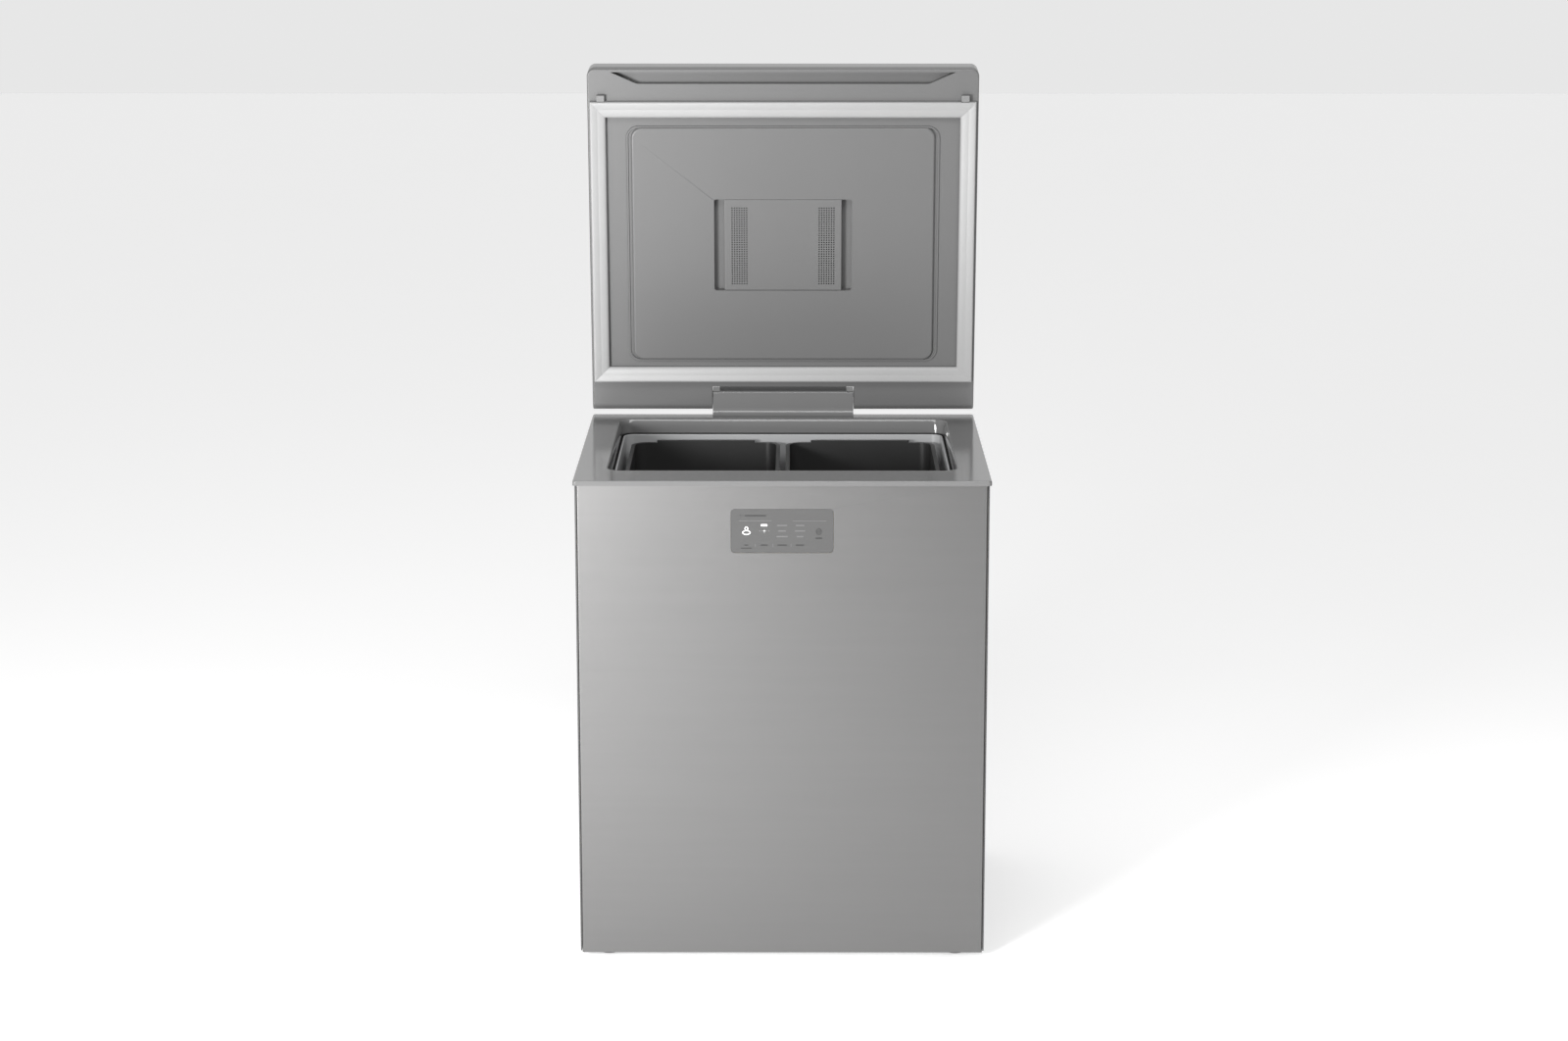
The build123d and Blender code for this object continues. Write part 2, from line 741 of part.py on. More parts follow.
with BuildPart() as lid_hinge_plates:
    for side in (-1, 1):
        web_plane = Plane(
            origin=(side * plate_start + (side - 1) / 2 * plate_sheet, hinge_y, hinge_z),
            x_dir=lid_plane.y_dir,
            z_dir=(1, 0, 0),
        )
        with BuildSketch(web_plane):
            with Locations(((plate_rear + plate_front) / 2, (plate_inner + plate_outer) / 2)):
                RectangleRounded(plate_front - plate_rear, plate_inner - plate_outer, 5)
            Circle(shaft_bore, mode=Mode.SUBTRACT)
        extrude(amount=plate_sheet)
        with BuildSketch(lid_plane.offset(plate_outer)):
            with Locations((side * (plate_start + plate_flange / 2), plate_front - 36)):
                Rectangle(plate_flange, 62)
                with GridLocations(1, 36, 1, 2):
                    Circle(2.5, mode=Mode.SUBTRACT)
        extrude(amount=plate_sheet)
lid_hinge_plates.part.label = "lid_hinge_plates"
export_step(lid_hinge_plates.part, "parts/lid_hinge_plates.step")

with BuildPart() as hinge_shaft:
    with BuildSketch(Plane.YZ.offset(-plate_start - plate_sheet - 4)):
        with Locations((hinge_y, hinge_z)):
            Circle(shaft_radius)
    extrude(amount=2 * (plate_start + plate_sheet + 4))
    chamfer(hinge_shaft.edges(), 0.8)
hinge_shaft.part.label = "hinge_shaft"
export_step(hinge_shaft.part, "parts/hinge_shaft.step")

gasket_length = gasket_front - gasket_rear
gasket_mid = (gasket_front + gasket_rear) / 2
magnet_inset = 12.0
magnet_width = 8.0
magnet_foot = 25.5
magnet_height = 3.5


# A mitred rectangular ring lying on the lid, from an outer inset and a width
def gasket_ring(inset, width):
    with BuildSketch() as ring:
        with Locations((0, gasket_mid)):
            Rectangle(2 * (gasket_half - inset), gasket_length - 2 * inset)
            Rectangle(
                2 * (gasket_half - inset - width),
                gasket_length - 2 * (inset + width),
                mode=Mode.SUBTRACT,
            )
    return ring.sketch


with BuildPart() as lid_gasket:
    with BuildSketch(lid_plane.offset(lid_face)):
        add(gasket_ring(0, gasket_width))
    extrude(amount=gasket_height)
    chamfer(
        lid_gasket.edges().filter_by(lambda edge: at_lid_place(edge, lid_face + gasket_height)),
        1.6,
    )
    with BuildSketch(lid_plane.offset(magnet_foot)):
        add(gasket_ring(magnet_inset, magnet_width))
    extrude(amount=magnet_height, mode=Mode.SUBTRACT)
lid_gasket.part.label = "lid_gasket"
export_step(lid_gasket.part, "parts/lid_gasket.step")

with BuildPart() as gasket_magnets:
    with BuildSketch(lid_plane.offset(magnet_foot + 0.1)):
        add(gasket_ring(magnet_inset + 0.2, magnet_width - 0.4))
        # the four strips stop short of each corner
        for corner_x in (-1, 1):
            for corner_y in (-1, 1):
                with Locations(
                    (corner_x * gasket_half, gasket_mid + corner_y * gasket_length / 2)
                ):
                    Rectangle(60, 60, mode=Mode.SUBTRACT)
    extrude(amount=magnet_height - 0.2)
gasket_magnets.part.label = "gasket_magnets"
export_step(gasket_magnets.part, "parts/gasket_magnets.step")

with BuildPart() as lid_bumpers:
    with BuildSketch(lid_plane.offset(lid_face)):
        with Locations((-310.5, gasket_front + 5.9), (310.5, gasket_front + 5.9)):
            RectangleRounded(14, 11, 1.5)
    extrude(amount=10.6)
    fillet(
        lid_bumpers.edges().filter_by(lambda edge: at_lid_place(edge, lid_face + 10.6)),
        1.2,
    )
lid_bumpers.part.label = "lid_bumpers"
export_step(lid_bumpers.part, "parts/lid_bumpers.step")

cartridge_foot = lid_face + pan_height - recess_depth
with BuildPart() as filter_cartridge:
    with BuildSketch(lid_plane.offset(cartridge_foot)):
        with Locations((0, recess_mid)):
            RectangleRounded(190, 148, 3)
    extrude(amount=11)
    with BuildSketch(lid_plane.offset(cartridge_foot + 3)):
        with Locations((0, recess_mid)):
            with GridLocations(9, 1, 20, 1):
                Rectangle(5, 136)
    extrude(amount=9, mode=Mode.SUBTRACT)
filter_cartridge.part.label = "filter_cartridge"
export_step(filter_cartridge.part, "parts/filter_cartridge.step")

cover_length = recess_length - 2 * fit_gap
cover_wall = 1.8
with BuildPart() as filter_cover:
    with BuildSketch(lid_plane.offset(lid_face + pan_height - cover_skirt)):
        with Locations((0, recess_mid)):
            RectangleRounded(2 * cover_half, cover_length, 3)
    extrude(amount=cover_skirt)
    fillet(
        filter_cover.edges().filter_by(lambda edge: at_lid_place(edge, lid_face + pan_height)),
        1.5,
    )
    with BuildSketch(lid_plane.offset(lid_face + pan_height - cover_skirt)):
        with Locations((0, recess_mid)):
            Rectangle(2 * (cover_half - cover_wall), cover_length - 2 * cover_wall)
    extrude(amount=cover_skirt - 2.2, mode=Mode.SUBTRACT)
    # vent bands down both sides
    with BuildSketch(lid_plane.offset(lid_face + pan_height - 2.2)):
        with Locations((-75, recess_mid - 1.4), (75, recess_mid - 1.4)):
            with GridLocations(4.2, 68, 7, 2):
                SlotOverall(64, 1.8, rotation=90)
    extrude(amount=2.2, mode=Mode.SUBTRACT)
filter_cover.part.label = "filter_cover"
export_step(filter_cover.part, "parts/filter_cover.step")

# Base and running gear

pan_back = body_back - sheet - 0.5
pan_mid_y = (room_front + pan_back) / 2
room_depth = pan_back - room_front
with BuildPart() as base_pan:
    with BuildSketch(Plane.XY.offset(pan_top - pan_sheet)):
        with Locations((0, pan_mid_y)):
            Rectangle(2 * back_half, room_depth)
    extrude(amount=pan_flange)
    with BuildSketch(Plane.XY.offset(pan_top)):
        with Locations((0, pan_mid_y)):
            Rectangle(2 * (back_half - pan_sheet), room_depth - 2 * pan_sheet)
    extrude(amount=pan_flange, mode=Mode.SUBTRACT)
    with BuildSketch(Plane.XY.offset(pan_top - pan_sheet)):
        with Locations((-foot_x, foot_y), (foot_x, foot_y)):
            Circle(foot_stud + 0.6)
        with Locations((-foot_x, roller_y), (foot_x, roller_y)):
            Rectangle(roller_width + 3, 2 * roller_radius + 8)
    extrude(amount=pan_sheet, mode=Mode.SUBTRACT)
base_pan.part.label = "base_pan"
export_step(base_pan.part, "parts/base_pan.step")

plate_top = foam_bottom - 0.2
with BuildPart() as floor_plate:
    with BuildSketch(Plane.XY.offset(plate_top - sheet)):
        with Locations((0, pan_mid_y)):
            Rectangle(2 * back_half, room_depth)
    extrude(amount=sheet)
floor_plate.part.label = "floor_plate"
export_step(floor_plate.part, "parts/floor_plate.step")

with BuildPart() as foot_sockets:
    for side in (-1, 1):
        with BuildSketch(Plane.XY.offset(pan_top)):
            with Locations((side * foot_x, foot_y)):
                RegularPolygon(11, 6)
                Circle(foot_stud + 0.05, mode=Mode.SUBTRACT)
        extrude(amount=12)
foot_sockets.part.label = "foot_sockets"
export_step(foot_sockets.part, "parts/foot_sockets.step")

for side, side_name in ((-1, "left"), (1, "right")):
    with BuildPart() as front_foot:
        with BuildSketch():
            with Locations((side * foot_x, foot_y)):
                Circle(foot_radius)
        extrude(amount=7)
        fillet(front_foot.edges().group_by(Axis.Z)[-1], 2.5)
        chamfer(front_foot.edges().group_by(Axis.Z)[0], 1)
        with BuildSketch(Plane.XY.offset(7)):
            with Locations((side * foot_x, foot_y)):
                RegularPolygon(9, 6)
        extrude(amount=4)
        with BuildSketch(Plane.XY.offset(11)):
            with Locations((side * foot_x, foot_y)):
                Circle(foot_stud)
        extrude(amount=22)
    front_foot.part.label = f"front_foot_{side_name}"
    export_step(front_foot.part, f"parts/front_foot_{side_name}.step")

    with BuildPart() as rear_roller:
        with BuildSketch(Plane.YZ.offset(side * foot_x - roller_width / 2)):
            with Locations((roller_y, roller_radius)):
                Circle(roller_radius)
                Circle(roller_axle + 0.05, mode=Mode.SUBTRACT)
        extrude(amount=roller_width)
        rim_edges = rear_roller.edges().filter_by(GeomType.CIRCLE)
        fillet(rim_edges.filter_by(lambda edge: edge.radius > roller_radius - 1), 2)
        with BuildSketch(Plane.YZ.offset(side * foot_x - roller_width / 2)):
            with Locations((roller_y, roller_radius)):
                Circle(roller_radius - 4)
                Circle(6.5, mode=Mode.SUBTRACT)
        extrude(amount=5, mode=Mode.SUBTRACT)
        with BuildSketch(Plane.YZ.offset(side * foot_x + roller_width / 2 - 5)):
            with Locations((roller_y, roller_radius)):
                Circle(roller_radius - 4)
                Circle(6.5, mode=Mode.SUBTRACT)
        extrude(amount=5, mode=Mode.SUBTRACT)
    rear_roller.part.label = f"rear_roller_{side_name}"
    export_step(rear_roller.part, f"parts/rear_roller_{side_name}.step")

cheek_start = roller_width / 2 + 1
cheek_sheet = 2.0
with BuildPart() as roller_brackets:
    for side in (-1, 1):
        for cheek in (-1, 1):
            cheek_x = side * foot_x + cheek * (cheek_start + cheek_sheet / 2)
            with BuildSketch(Plane.YZ.offset(cheek_x - cheek_sheet / 2)):
                with Locations((roller_y, pan_top + 9)):
                    Rectangle(30, 18)
                with Locations((roller_y, roller_radius)):
                    Circle(roller_axle, mode=Mode.SUBTRACT)
                with Locations((roller_y, pan_top - 5)):
                    Rectangle(40, 10, mode=Mode.SUBTRACT)
            extrude(amount=cheek_sheet)
            with BuildSketch(Plane.XY.offset(pan_top)):
                with Locations((cheek_x + cheek * 6, roller_y)):
                    Rectangle(12, 30)
            extrude(amount=cheek_sheet)
    for side in (-1, 1):
        with BuildSketch(Plane.YZ.offset(side * foot_x - 30)):
            with Locations((roller_y, roller_radius)):
                Circle(roller_axle)
        extrude(amount=60, mode=Mode.SUBTRACT)
roller_brackets.part.label = "roller_brackets"
export_step(roller_brackets.part, "parts/roller_brackets.step")

with BuildPart() as roller_axles:
    for side in (-1, 1):
        with BuildSketch(Plane.YZ.offset(side * foot_x - 12.5)):
            with Locations((roller_y, roller_radius)):
                Circle(roller_axle)
        extrude(amount=25)
roller_axles.part.label = "roller_axles"
export_step(roller_axles.part, "parts/roller_axles.step")

# Machine room

cover_foot = 14.0
cover_head = foam_bottom - 0.5
gland_x = 262.0
gland_z = 52.0
cover_screw_places = [(x, z) for x in (-312, 0, 312) for z in (24, 176)]
with BuildPart() as machine_room_cover:
    with BuildSketch(Plane.XZ.offset(-body_back)):
        with Locations((0, (cover_foot + cover_head) / 2)):
            Rectangle(2 * back_half, cover_head - cover_foot)
        with Locations(*cover_screw_places):
            Circle(2.2, mode=Mode.SUBTRACT)
        with Locations((gland_x, gland_z)):
            Circle(9, mode=Mode.SUBTRACT)
        with Locations((-160, 100), (0, 100), (150, 115)):
            with GridLocations(64, 11, 2, 10):
                SlotOverall(54, 5, mode=Mode.SUBTRACT)
    extrude(amount=sheet)
machine_room_cover.part.label = "machine_room_cover"
export_step(machine_room_cover.part, "parts/machine_room_cover.step")

with BuildPart() as cover_screws:
    with BuildSketch(Plane.XZ.offset(-body_back)):
        with Locations(*cover_screw_places):
            Circle(4)
            Rectangle(5, 1, mode=Mode.SUBTRACT)
            Rectangle(1, 5, mode=Mode.SUBTRACT)
    extrude(amount=-2)
    with BuildSketch(Plane.XZ.offset(-body_back + sheet + 0.3)):
        with Locations(*cover_screw_places):
            Circle(2.1)
    extrude(amount=-sheet - 0.8)
cover_screws.part.label = "cover_screws"
export_step(cover_screws.part, "parts/cover_screws.step")

with BuildPart() as cable_gland:
    with BuildSketch(Plane.XZ.offset(-body_back)):
        with Locations((gland_x, gland_z)):
            Circle(12)
            Circle(4.5, mode=Mode.SUBTRACT)
    extrude(amount=-3)
    fillet(cable_gland.edges().group_by(Axis.Y)[-1], 1)
    with BuildSketch(Plane.XZ.offset(-body_back)):
        with Locations((gland_x, gland_z)):
            Circle(8.9)
            Circle(4.5, mode=Mode.SUBTRACT)
    extrude(amount=9)
cable_gland.part.label = "cable_gland"
export_step(cable_gland.part, "parts/cable_gland.step")

shell_radius = 66.0
shell_foot = 30.0
shell_top = 166.0
mount_places = [(compressor_x + dx, compressor_y + dy) for dx in (-78, 78) for dy in (-52, 52)]
with BuildPart() as pressed_shell:
    with BuildSketch(Plane.XZ):
        with BuildLine():
            Polyline(
                (0, shell_foot),
                (46, shell_foot),
                (shell_radius, shell_foot + 22),
                (shell_radius, 96),
                (shell_radius + 5, 96),
                (shell_radius + 5, 100),
                (shell_radius - 1.5, 100),
                (shell_radius - 1.5, shell_top - 30),
                (40, shell_top),
                (0, shell_top),
                (0, shell_foot),
            )
        make_face()
    revolve(axis=Axis.Z)
    fillet(pressed_shell.edges().group_by(Axis.Z)[-1], 14)
    fillet(pressed_shell.edges().group_by(Axis.Z)[0], 10)
with BuildPart() as compressor:
    with Locations((compressor_x, compressor_y, 0)):
        add(pressed_shell.part)
    with BuildSketch(Plane.XY.offset(shell_foot - 4)):
        with Locations((compressor_x, compressor_y)):
            RectangleRounded(180, 128, 14)
        with Locations(*mount_places):
            Circle(7.5, mode=Mode.SUBTRACT)
    extrude(amount=4.5)
    with BuildSketch(Plane.YZ.offset(compressor_x + shell_radius - 4)):
        with Locations((compressor_y, 72)):
            RectangleRounded(54, 44, 6)
    extrude(amount=22)
compressor.part.label = "compressor"
export_step(compressor.part, "parts/compressor.step")

with BuildPart() as compressor_mounts:
    for low, high, radius in ((pan_top, 26.0, 12.0), (26.0, 30.5, 7.3), (30.5, 34.5, 11.0)):
        with BuildSketch(Plane.XY.offset(low)):
            with Locations(*mount_places):
                Circle(radius)
        extrude(amount=high - low)
    with BuildSketch(Plane.XY.offset(pan_top)):
        with Locations(*mount_places):
            Circle(3.2)
    extrude(amount=40, mode=Mode.SUBTRACT)
compressor_mounts.part.label = "compressor_mounts"
export_step(compressor_mounts.part, "parts/compressor_mounts.step")

with BuildPart() as compressor_bolts:
    with BuildSketch(Plane.XY.offset(pan_top)):
        with Locations(*mount_places):
            Circle(3)
    extrude(amount=21.2)
    with BuildSketch(Plane.XY.offset(pan_top + 21.2)):
        with Locations(*mount_places):
            RegularPolygon(6.2, 6)
    extrude(amount=4)
compressor_bolts.part.label = "compressor_bolts"
export_step(compressor_bolts.part, "parts/compressor_bolts.step")

# Condenser: one tube folded into three upright layers
condenser_runs = 7
condenser_pitch = 28.0
condenser_left = -290.0
condenser_front = 10.0
condenser_back = 205.0
condenser_levels = (48.0, 90.0, 132.0)
condenser_points = []
for layer, level in enumerate(condenser_levels):
    runs = range(condenser_runs) if layer % 2 == 0 else reversed(range(condenser_runs))
    for run in runs:
        run_x = condenser_left + run * condenser_pitch
        ends = (condenser_front, condenser_back)
        if len(condenser_points) // 2 % 2:
            ends = (condenser_back, condenser_front)
        condenser_points.append((run_x, ends[0], level))
        condenser_points.append((run_x, ends[1], level))
with BuildPart() as condenser_coil:
    with BuildLine() as condenser_path:
        FilletPolyline(*condenser_points, radius=12)
    with BuildSketch(Plane(origin=condenser_path.line @ 0, z_dir=condenser_path.line % 0)):
        Circle(tube_radius)
    sweep()
    # upright fin plates that hold the runs apart
    for fin_y in range(40, 190, 28):
        with BuildSketch(Plane.XZ.offset(-fin_y)):
            with Locations((condenser_left + condenser_pitch * (condenser_runs - 1) / 2, 90)):
                Rectangle(condenser_pitch * (condenser_runs - 1) + 20, 104)
        extrude(amount=0.8)
condenser_coil.part.label = "condenser_coil"
export_step(condenser_coil.part, "parts/condenser_coil.step")

shroud_x = -66.0
with BuildPart() as fan_shroud:
    with BuildSketch(Plane.YZ.offset(shroud_x)):
        with Locations((fan_y, fan_z)):
            RectangleRounded(146, 140, 8)
            Circle(fan_radius + 3, mode=Mode.SUBTRACT)
    extrude(amount=3)
    with BuildSketch(Plane.YZ.offset(shroud_x)):
        with Locations((fan_y, fan_z)):
            Circle(fan_radius + 5.5)
            Circle(fan_radius + 3, mode=Mode.SUBTRACT)
    extrude(amount=26)
    with BuildSketch(Plane.XY.offset(pan_top)):
        with Locations((shroud_x + 10, fan_y)):
            Rectangle(20, 120)
    extrude(amount=3)
    with BuildSketch(Plane.YZ.offset(shroud_x)):
        with Locations((fan_y, (pan_top + fan_z - 66) / 2)):
            Rectangle(120, fan_z - 66 - pan_top)
    extrude(amount=3)
fan_shroud.part.label = "fan_shroud"
export_step(fan_shroud.part, "parts/fan_shroud.step")

hub_start = -60.0
hub_length = 22.0
blade_count = 7
with BuildPart() as fan_blade:
    with BuildSketch(Plane.YZ.offset(hub_start)):
        with Locations((fan_y, fan_z)):
            Circle(15)
    extrude(amount=hub_length)
    fillet(fan_blade.edges().group_by(Axis.X)[0], 3)
    for blade in range(blade_count):
        turn = radians(blade * 360 / blade_count)
        spoke = Plane(
            origin=(hub_start + hub_length / 2, fan_y, fan_z),
            x_dir=(1, 0, 0),
            z_dir=(0, cos(turn), sin(turn)),
        )
        with BuildSketch(spoke.offset(12)):
            Rectangle(21, 2, rotation=38)
        with BuildSketch(spoke.offset(fan_radius - 1)):
            Rectangle(18, 1.4, rotation=24)
        loft()
    with BuildSketch(Plane.YZ.offset(hub_start + hub_length)):
        with Locations((fan_y, fan_z)):
            Circle(2.5)
    extrude(amount=16)
fan_blade.part.label = "fan_blade"
export_step(fan_blade.part, "parts/fan_blade.step")

motor_start = hub_start + hub_length + 4
with BuildPart() as fan_motor:
    with BuildSketch(Plane.YZ.offset(motor_start)):
        with Locations((fan_y, fan_z)):
            Circle(21)
    extrude(amount=40)
    fillet(fan_motor.edges().filter_by(GeomType.CIRCLE), 3)
    with BuildSketch(Plane.YZ.offset(motor_start)):
        with Locations((fan_y, fan_z)):
            Circle(2.55)
    extrude(amount=14, mode=Mode.SUBTRACT)
    with BuildSketch(Plane.XY.offset(pan_top + 2)):
        with Locations((motor_start + 20, fan_y)):
            Rectangle(22, 30)
    extrude(amount=fan_z - pan_top - 20)
    with BuildSketch(Plane.XY.offset(pan_top)):
        with Locations((motor_start + 20, fan_y)):
            RectangleRounded(44, 56, 5)
    extrude(amount=2)
fan_motor.part.label = "fan_motor"
export_step(fan_motor.part, "parts/fan_motor.step")

with BuildPart() as filter_drier:
    with BuildSketch(Plane.YZ.offset(60)):
        with Locations((-60, 60)):
            Circle(9)
    extrude(amount=90)
    fillet(filter_drier.edges(), 6)
    with BuildSketch(Plane.XY.offset(pan_top)):
        with Locations((105, -60)):
            Rectangle(14, 10)
    extrude(amount=60 - 9 - pan_top + 1)
filter_drier.part.label = "filter_drier"
export_step(filter_drier.part, "parts/filter_drier.step")

# Discharge pipe to the condenser, and the thin pipe from the drier up into the foam
discharge_points = [
    (compressor_x - shell_radius, compressor_y, 130),
    (compressor_x - shell_radius - 44, compressor_y, 130),
    (compressor_x - shell_radius - 44, -30, 130),
    (compressor_x - shell_radius - 44, -30, 160),
    (-100, -30, 160),
    (-100, -30, 40),
]
suction_points = [
    (60, -60, 60),
    (20, -60, 60),
    (20, -60, 140),
    (20, -120, 140),
    (20, -120, plate_top - sheet),
]
with BuildPart() as refrigerant_pipes:
    for pipe_points in (discharge_points, suction_points):
        with BuildLine() as pipe_path:
            FilletPolyline(*pipe_points, radius=12)
        with BuildSketch(Plane(origin=pipe_path.line @ 0, z_dir=pipe_path.line % 0)):
            Circle(tube_radius)
        sweep(path=pipe_path.line)
refrigerant_pipes.part.label = "refrigerant_pipes"
export_step(refrigerant_pipes.part, "parts/refrigerant_pipes.step")

board_x = -170.0
board_y = -200.0
with BuildPart() as main_board:
    with BuildSketch(Plane.XY.offset(pan_top + 8)):
        with Locations((board_x, board_y)):
            Rectangle(130, 90)
    extrude(amount=1.6)
    with BuildSketch(Plane.XY.offset(pan_top)):
        with Locations((board_x, board_y)):
            with GridLocations(116, 76, 2, 2):
                Circle(4)
    extrude(amount=8)
    with BuildSketch(Plane.XY.offset(pan_top + 9.6)):
        with Locations((board_x - 35, board_y)):
            Rectangle(34, 40)
        with Locations((board_x + 20, board_y + 20)):
            Rectangle(22, 16)
    extrude(amount=20)
main_board.part.label = "main_board"
export_step(main_board.part, "parts/main_board.step")

with BuildPart() as board_cover:
    with BuildSketch(Plane.XY.offset(pan_top)):
        with Locations((board_x, board_y)):
            RectangleRounded(146, 106, 6)
    extrude(amount=44)
    fillet(board_cover.edges().group_by(Axis.Z)[-1], 3)
    with BuildSketch(Plane.XY.offset(pan_top)):
        with Locations((board_x, board_y)):
            RectangleRounded(142, 102, 4)
    extrude(amount=42, mode=Mode.SUBTRACT)
board_cover.part.label = "board_cover"
export_step(board_cover.part, "parts/board_cover.step")
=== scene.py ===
import bmesh
import bpy
import json
import math
import numpy as np
from mathutils import Matrix, Vector


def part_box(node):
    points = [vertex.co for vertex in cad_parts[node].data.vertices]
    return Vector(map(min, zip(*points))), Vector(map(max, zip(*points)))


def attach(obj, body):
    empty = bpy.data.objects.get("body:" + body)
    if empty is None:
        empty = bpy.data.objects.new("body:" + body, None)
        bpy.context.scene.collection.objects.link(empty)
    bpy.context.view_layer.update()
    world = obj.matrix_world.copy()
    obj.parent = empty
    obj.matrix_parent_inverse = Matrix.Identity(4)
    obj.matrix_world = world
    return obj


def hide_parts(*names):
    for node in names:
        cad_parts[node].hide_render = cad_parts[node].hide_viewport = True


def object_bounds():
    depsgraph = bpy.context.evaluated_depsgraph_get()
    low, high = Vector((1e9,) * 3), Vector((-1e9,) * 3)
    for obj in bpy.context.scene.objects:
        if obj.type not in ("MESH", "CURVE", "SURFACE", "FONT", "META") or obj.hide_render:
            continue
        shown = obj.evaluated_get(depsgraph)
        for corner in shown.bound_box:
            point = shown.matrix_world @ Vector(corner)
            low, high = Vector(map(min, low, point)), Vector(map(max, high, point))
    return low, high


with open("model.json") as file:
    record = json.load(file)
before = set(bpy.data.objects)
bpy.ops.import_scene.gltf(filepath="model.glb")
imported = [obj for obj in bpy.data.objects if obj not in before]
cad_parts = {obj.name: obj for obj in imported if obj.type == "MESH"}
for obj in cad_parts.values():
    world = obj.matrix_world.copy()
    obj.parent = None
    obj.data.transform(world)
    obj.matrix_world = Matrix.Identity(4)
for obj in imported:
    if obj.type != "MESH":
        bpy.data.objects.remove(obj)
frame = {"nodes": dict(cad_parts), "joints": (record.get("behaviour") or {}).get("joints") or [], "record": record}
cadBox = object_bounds()
nodes = frame["nodes"]
slotOf = {row["node"]: row["material_slot"] for row in frame["record"]["subparts"]}
bodyOf = {
    node: body
    for body, members in frame["record"]["behaviour"]["bodies"].items()
    for node in members
}
mm = 0.001
noiseRoughness = 0.55
print("frame loaded:", len(nodes), "pieces")


# Wraps one output socket, so that sums on sockets read as plain Python
class Wire:
    def __init__(self, tree, socket):
        self.tree = tree
        self.socket = socket

    # Adds a node: its settings first, then the values or links of its inputs
    def add(self, kind, settings=None, inputs=None, output=0):
        made = self.tree.nodes.new(kind)
        for key, value in (settings or {}).items():
            setattr(made, key, value)
        for key, value in (inputs or {}).items():
            if isinstance(value, Wire):
                self.tree.links.new(value.socket, made.inputs[key])
            else:
                made.inputs[key].default_value = value
        return Wire(self.tree, made.outputs[output])

    def maths(self, operation, first, second):
        return self.add("ShaderNodeMath", {"operation": operation}, {0: first, 1: second})

    def __add__(self, other):
        return self.maths("ADD", self, other)

    def __radd__(self, other):
        return self.maths("ADD", other, self)

    def __sub__(self, other):
        return self.maths("SUBTRACT", self, other)

    def __mul__(self, other):
        return self.maths("MULTIPLY", self, other)

    # Noise on this point, stretched by a scale for each axis
    def noise(self, size, stretch, detail):
        placed = self.add("ShaderNodeMapping", None, {"Vector": self, "Scale": stretch})
        return placed.add(
            "ShaderNodeTexNoise",
            None,
            {"Vector": placed, "Scale": 1 / size, "Detail": detail, "Roughness": noiseRoughness},
        )

    # A tint that runs from one colour to another by this amount
    def tint(self, low, high):
        return self.add(
            "ShaderNodeMix",
            {"data_type": "RGBA"},
            {"Factor": self, "A": (*low, 1.0), "B": (*high, 1.0)},
            output=2,
        )

    def bump(self, strength):
        return self.add("ShaderNodeBump", None, {"Height": self, "Strength": strength, "Distance": mm})


# Every finish: two tints that drift into each other, a grain in the gloss and a fine relief
def finish(name, look):
    material = bpy.data.materials.new(name)
    material.use_nodes = True
    tree = material.node_tree
    tree.nodes.clear()
    output = tree.nodes.new("ShaderNodeOutputMaterial")
    shader = tree.nodes.new("ShaderNodeBsdfPrincipled")
    tree.links.new(shader.outputs[0], output.inputs["Surface"])
    start = tree.nodes.new("ShaderNodeTexCoord")
    point = Wire(tree, start.outputs["Object"])
    shade = look["shade"]
    drift = point.noise(look["driftSize"], look.get("stretch", (1, 1, 1)), 2.0)
    low = tuple(part * (1 - look["drift"]) for part in shade)
    high = tuple(min(1.0, part * (1 + look["drift"])) for part in shade)
    colour = drift.tint(low, high)
    grain = point.noise(look["grainSize"], look.get("grainStretch", (1, 1, 1)), 4.0)
    rough = look["rough"] + (grain - 0.5) * look["roughGrain"]
    if "spangle" in look:
        cells = point.add(
            "ShaderNodeTexVoronoi", None, {"Vector": point, "Scale": 1 / look["spangle"]}, output=1
        )
        patch = cells.add("ShaderNodeSeparateColor", None, {"Color": cells})
        colour = (patch * 0.5 + drift * 0.5).tint(low, high)
        rough = rough + (patch - 0.5) * look["spangleGrain"]
    tree.links.new(colour.socket, shader.inputs["Base Color"])
    tree.links.new(rough.socket, shader.inputs["Roughness"])
    tree.links.new(grain.bump(look["relief"]).socket, shader.inputs["Normal"])
    shader.inputs["Metallic"].default_value = look.get("metal", 0.0)
    shader.inputs["Coat Weight"].default_value = look.get("coat", 0.0)
    shader.inputs["Coat Roughness"].default_value = 0.08
    shader.inputs["IOR"].default_value = look.get("ior", 1.47)
    return material


def grey(level, warmth=0.0):
    return (level * (1 + warmth), level, level * (1 - warmth))


# The surface shader of a finish, for a glow on top of it
def addGlow(material, strength):
    shader = next(node for node in material.node_tree.nodes if node.type == "BSDF_PRINCIPLED")
    shader.inputs["Emission Color"].default_value = (1, 1, 1, 1)
    shader.inputs["Emission Strength"].default_value = strength


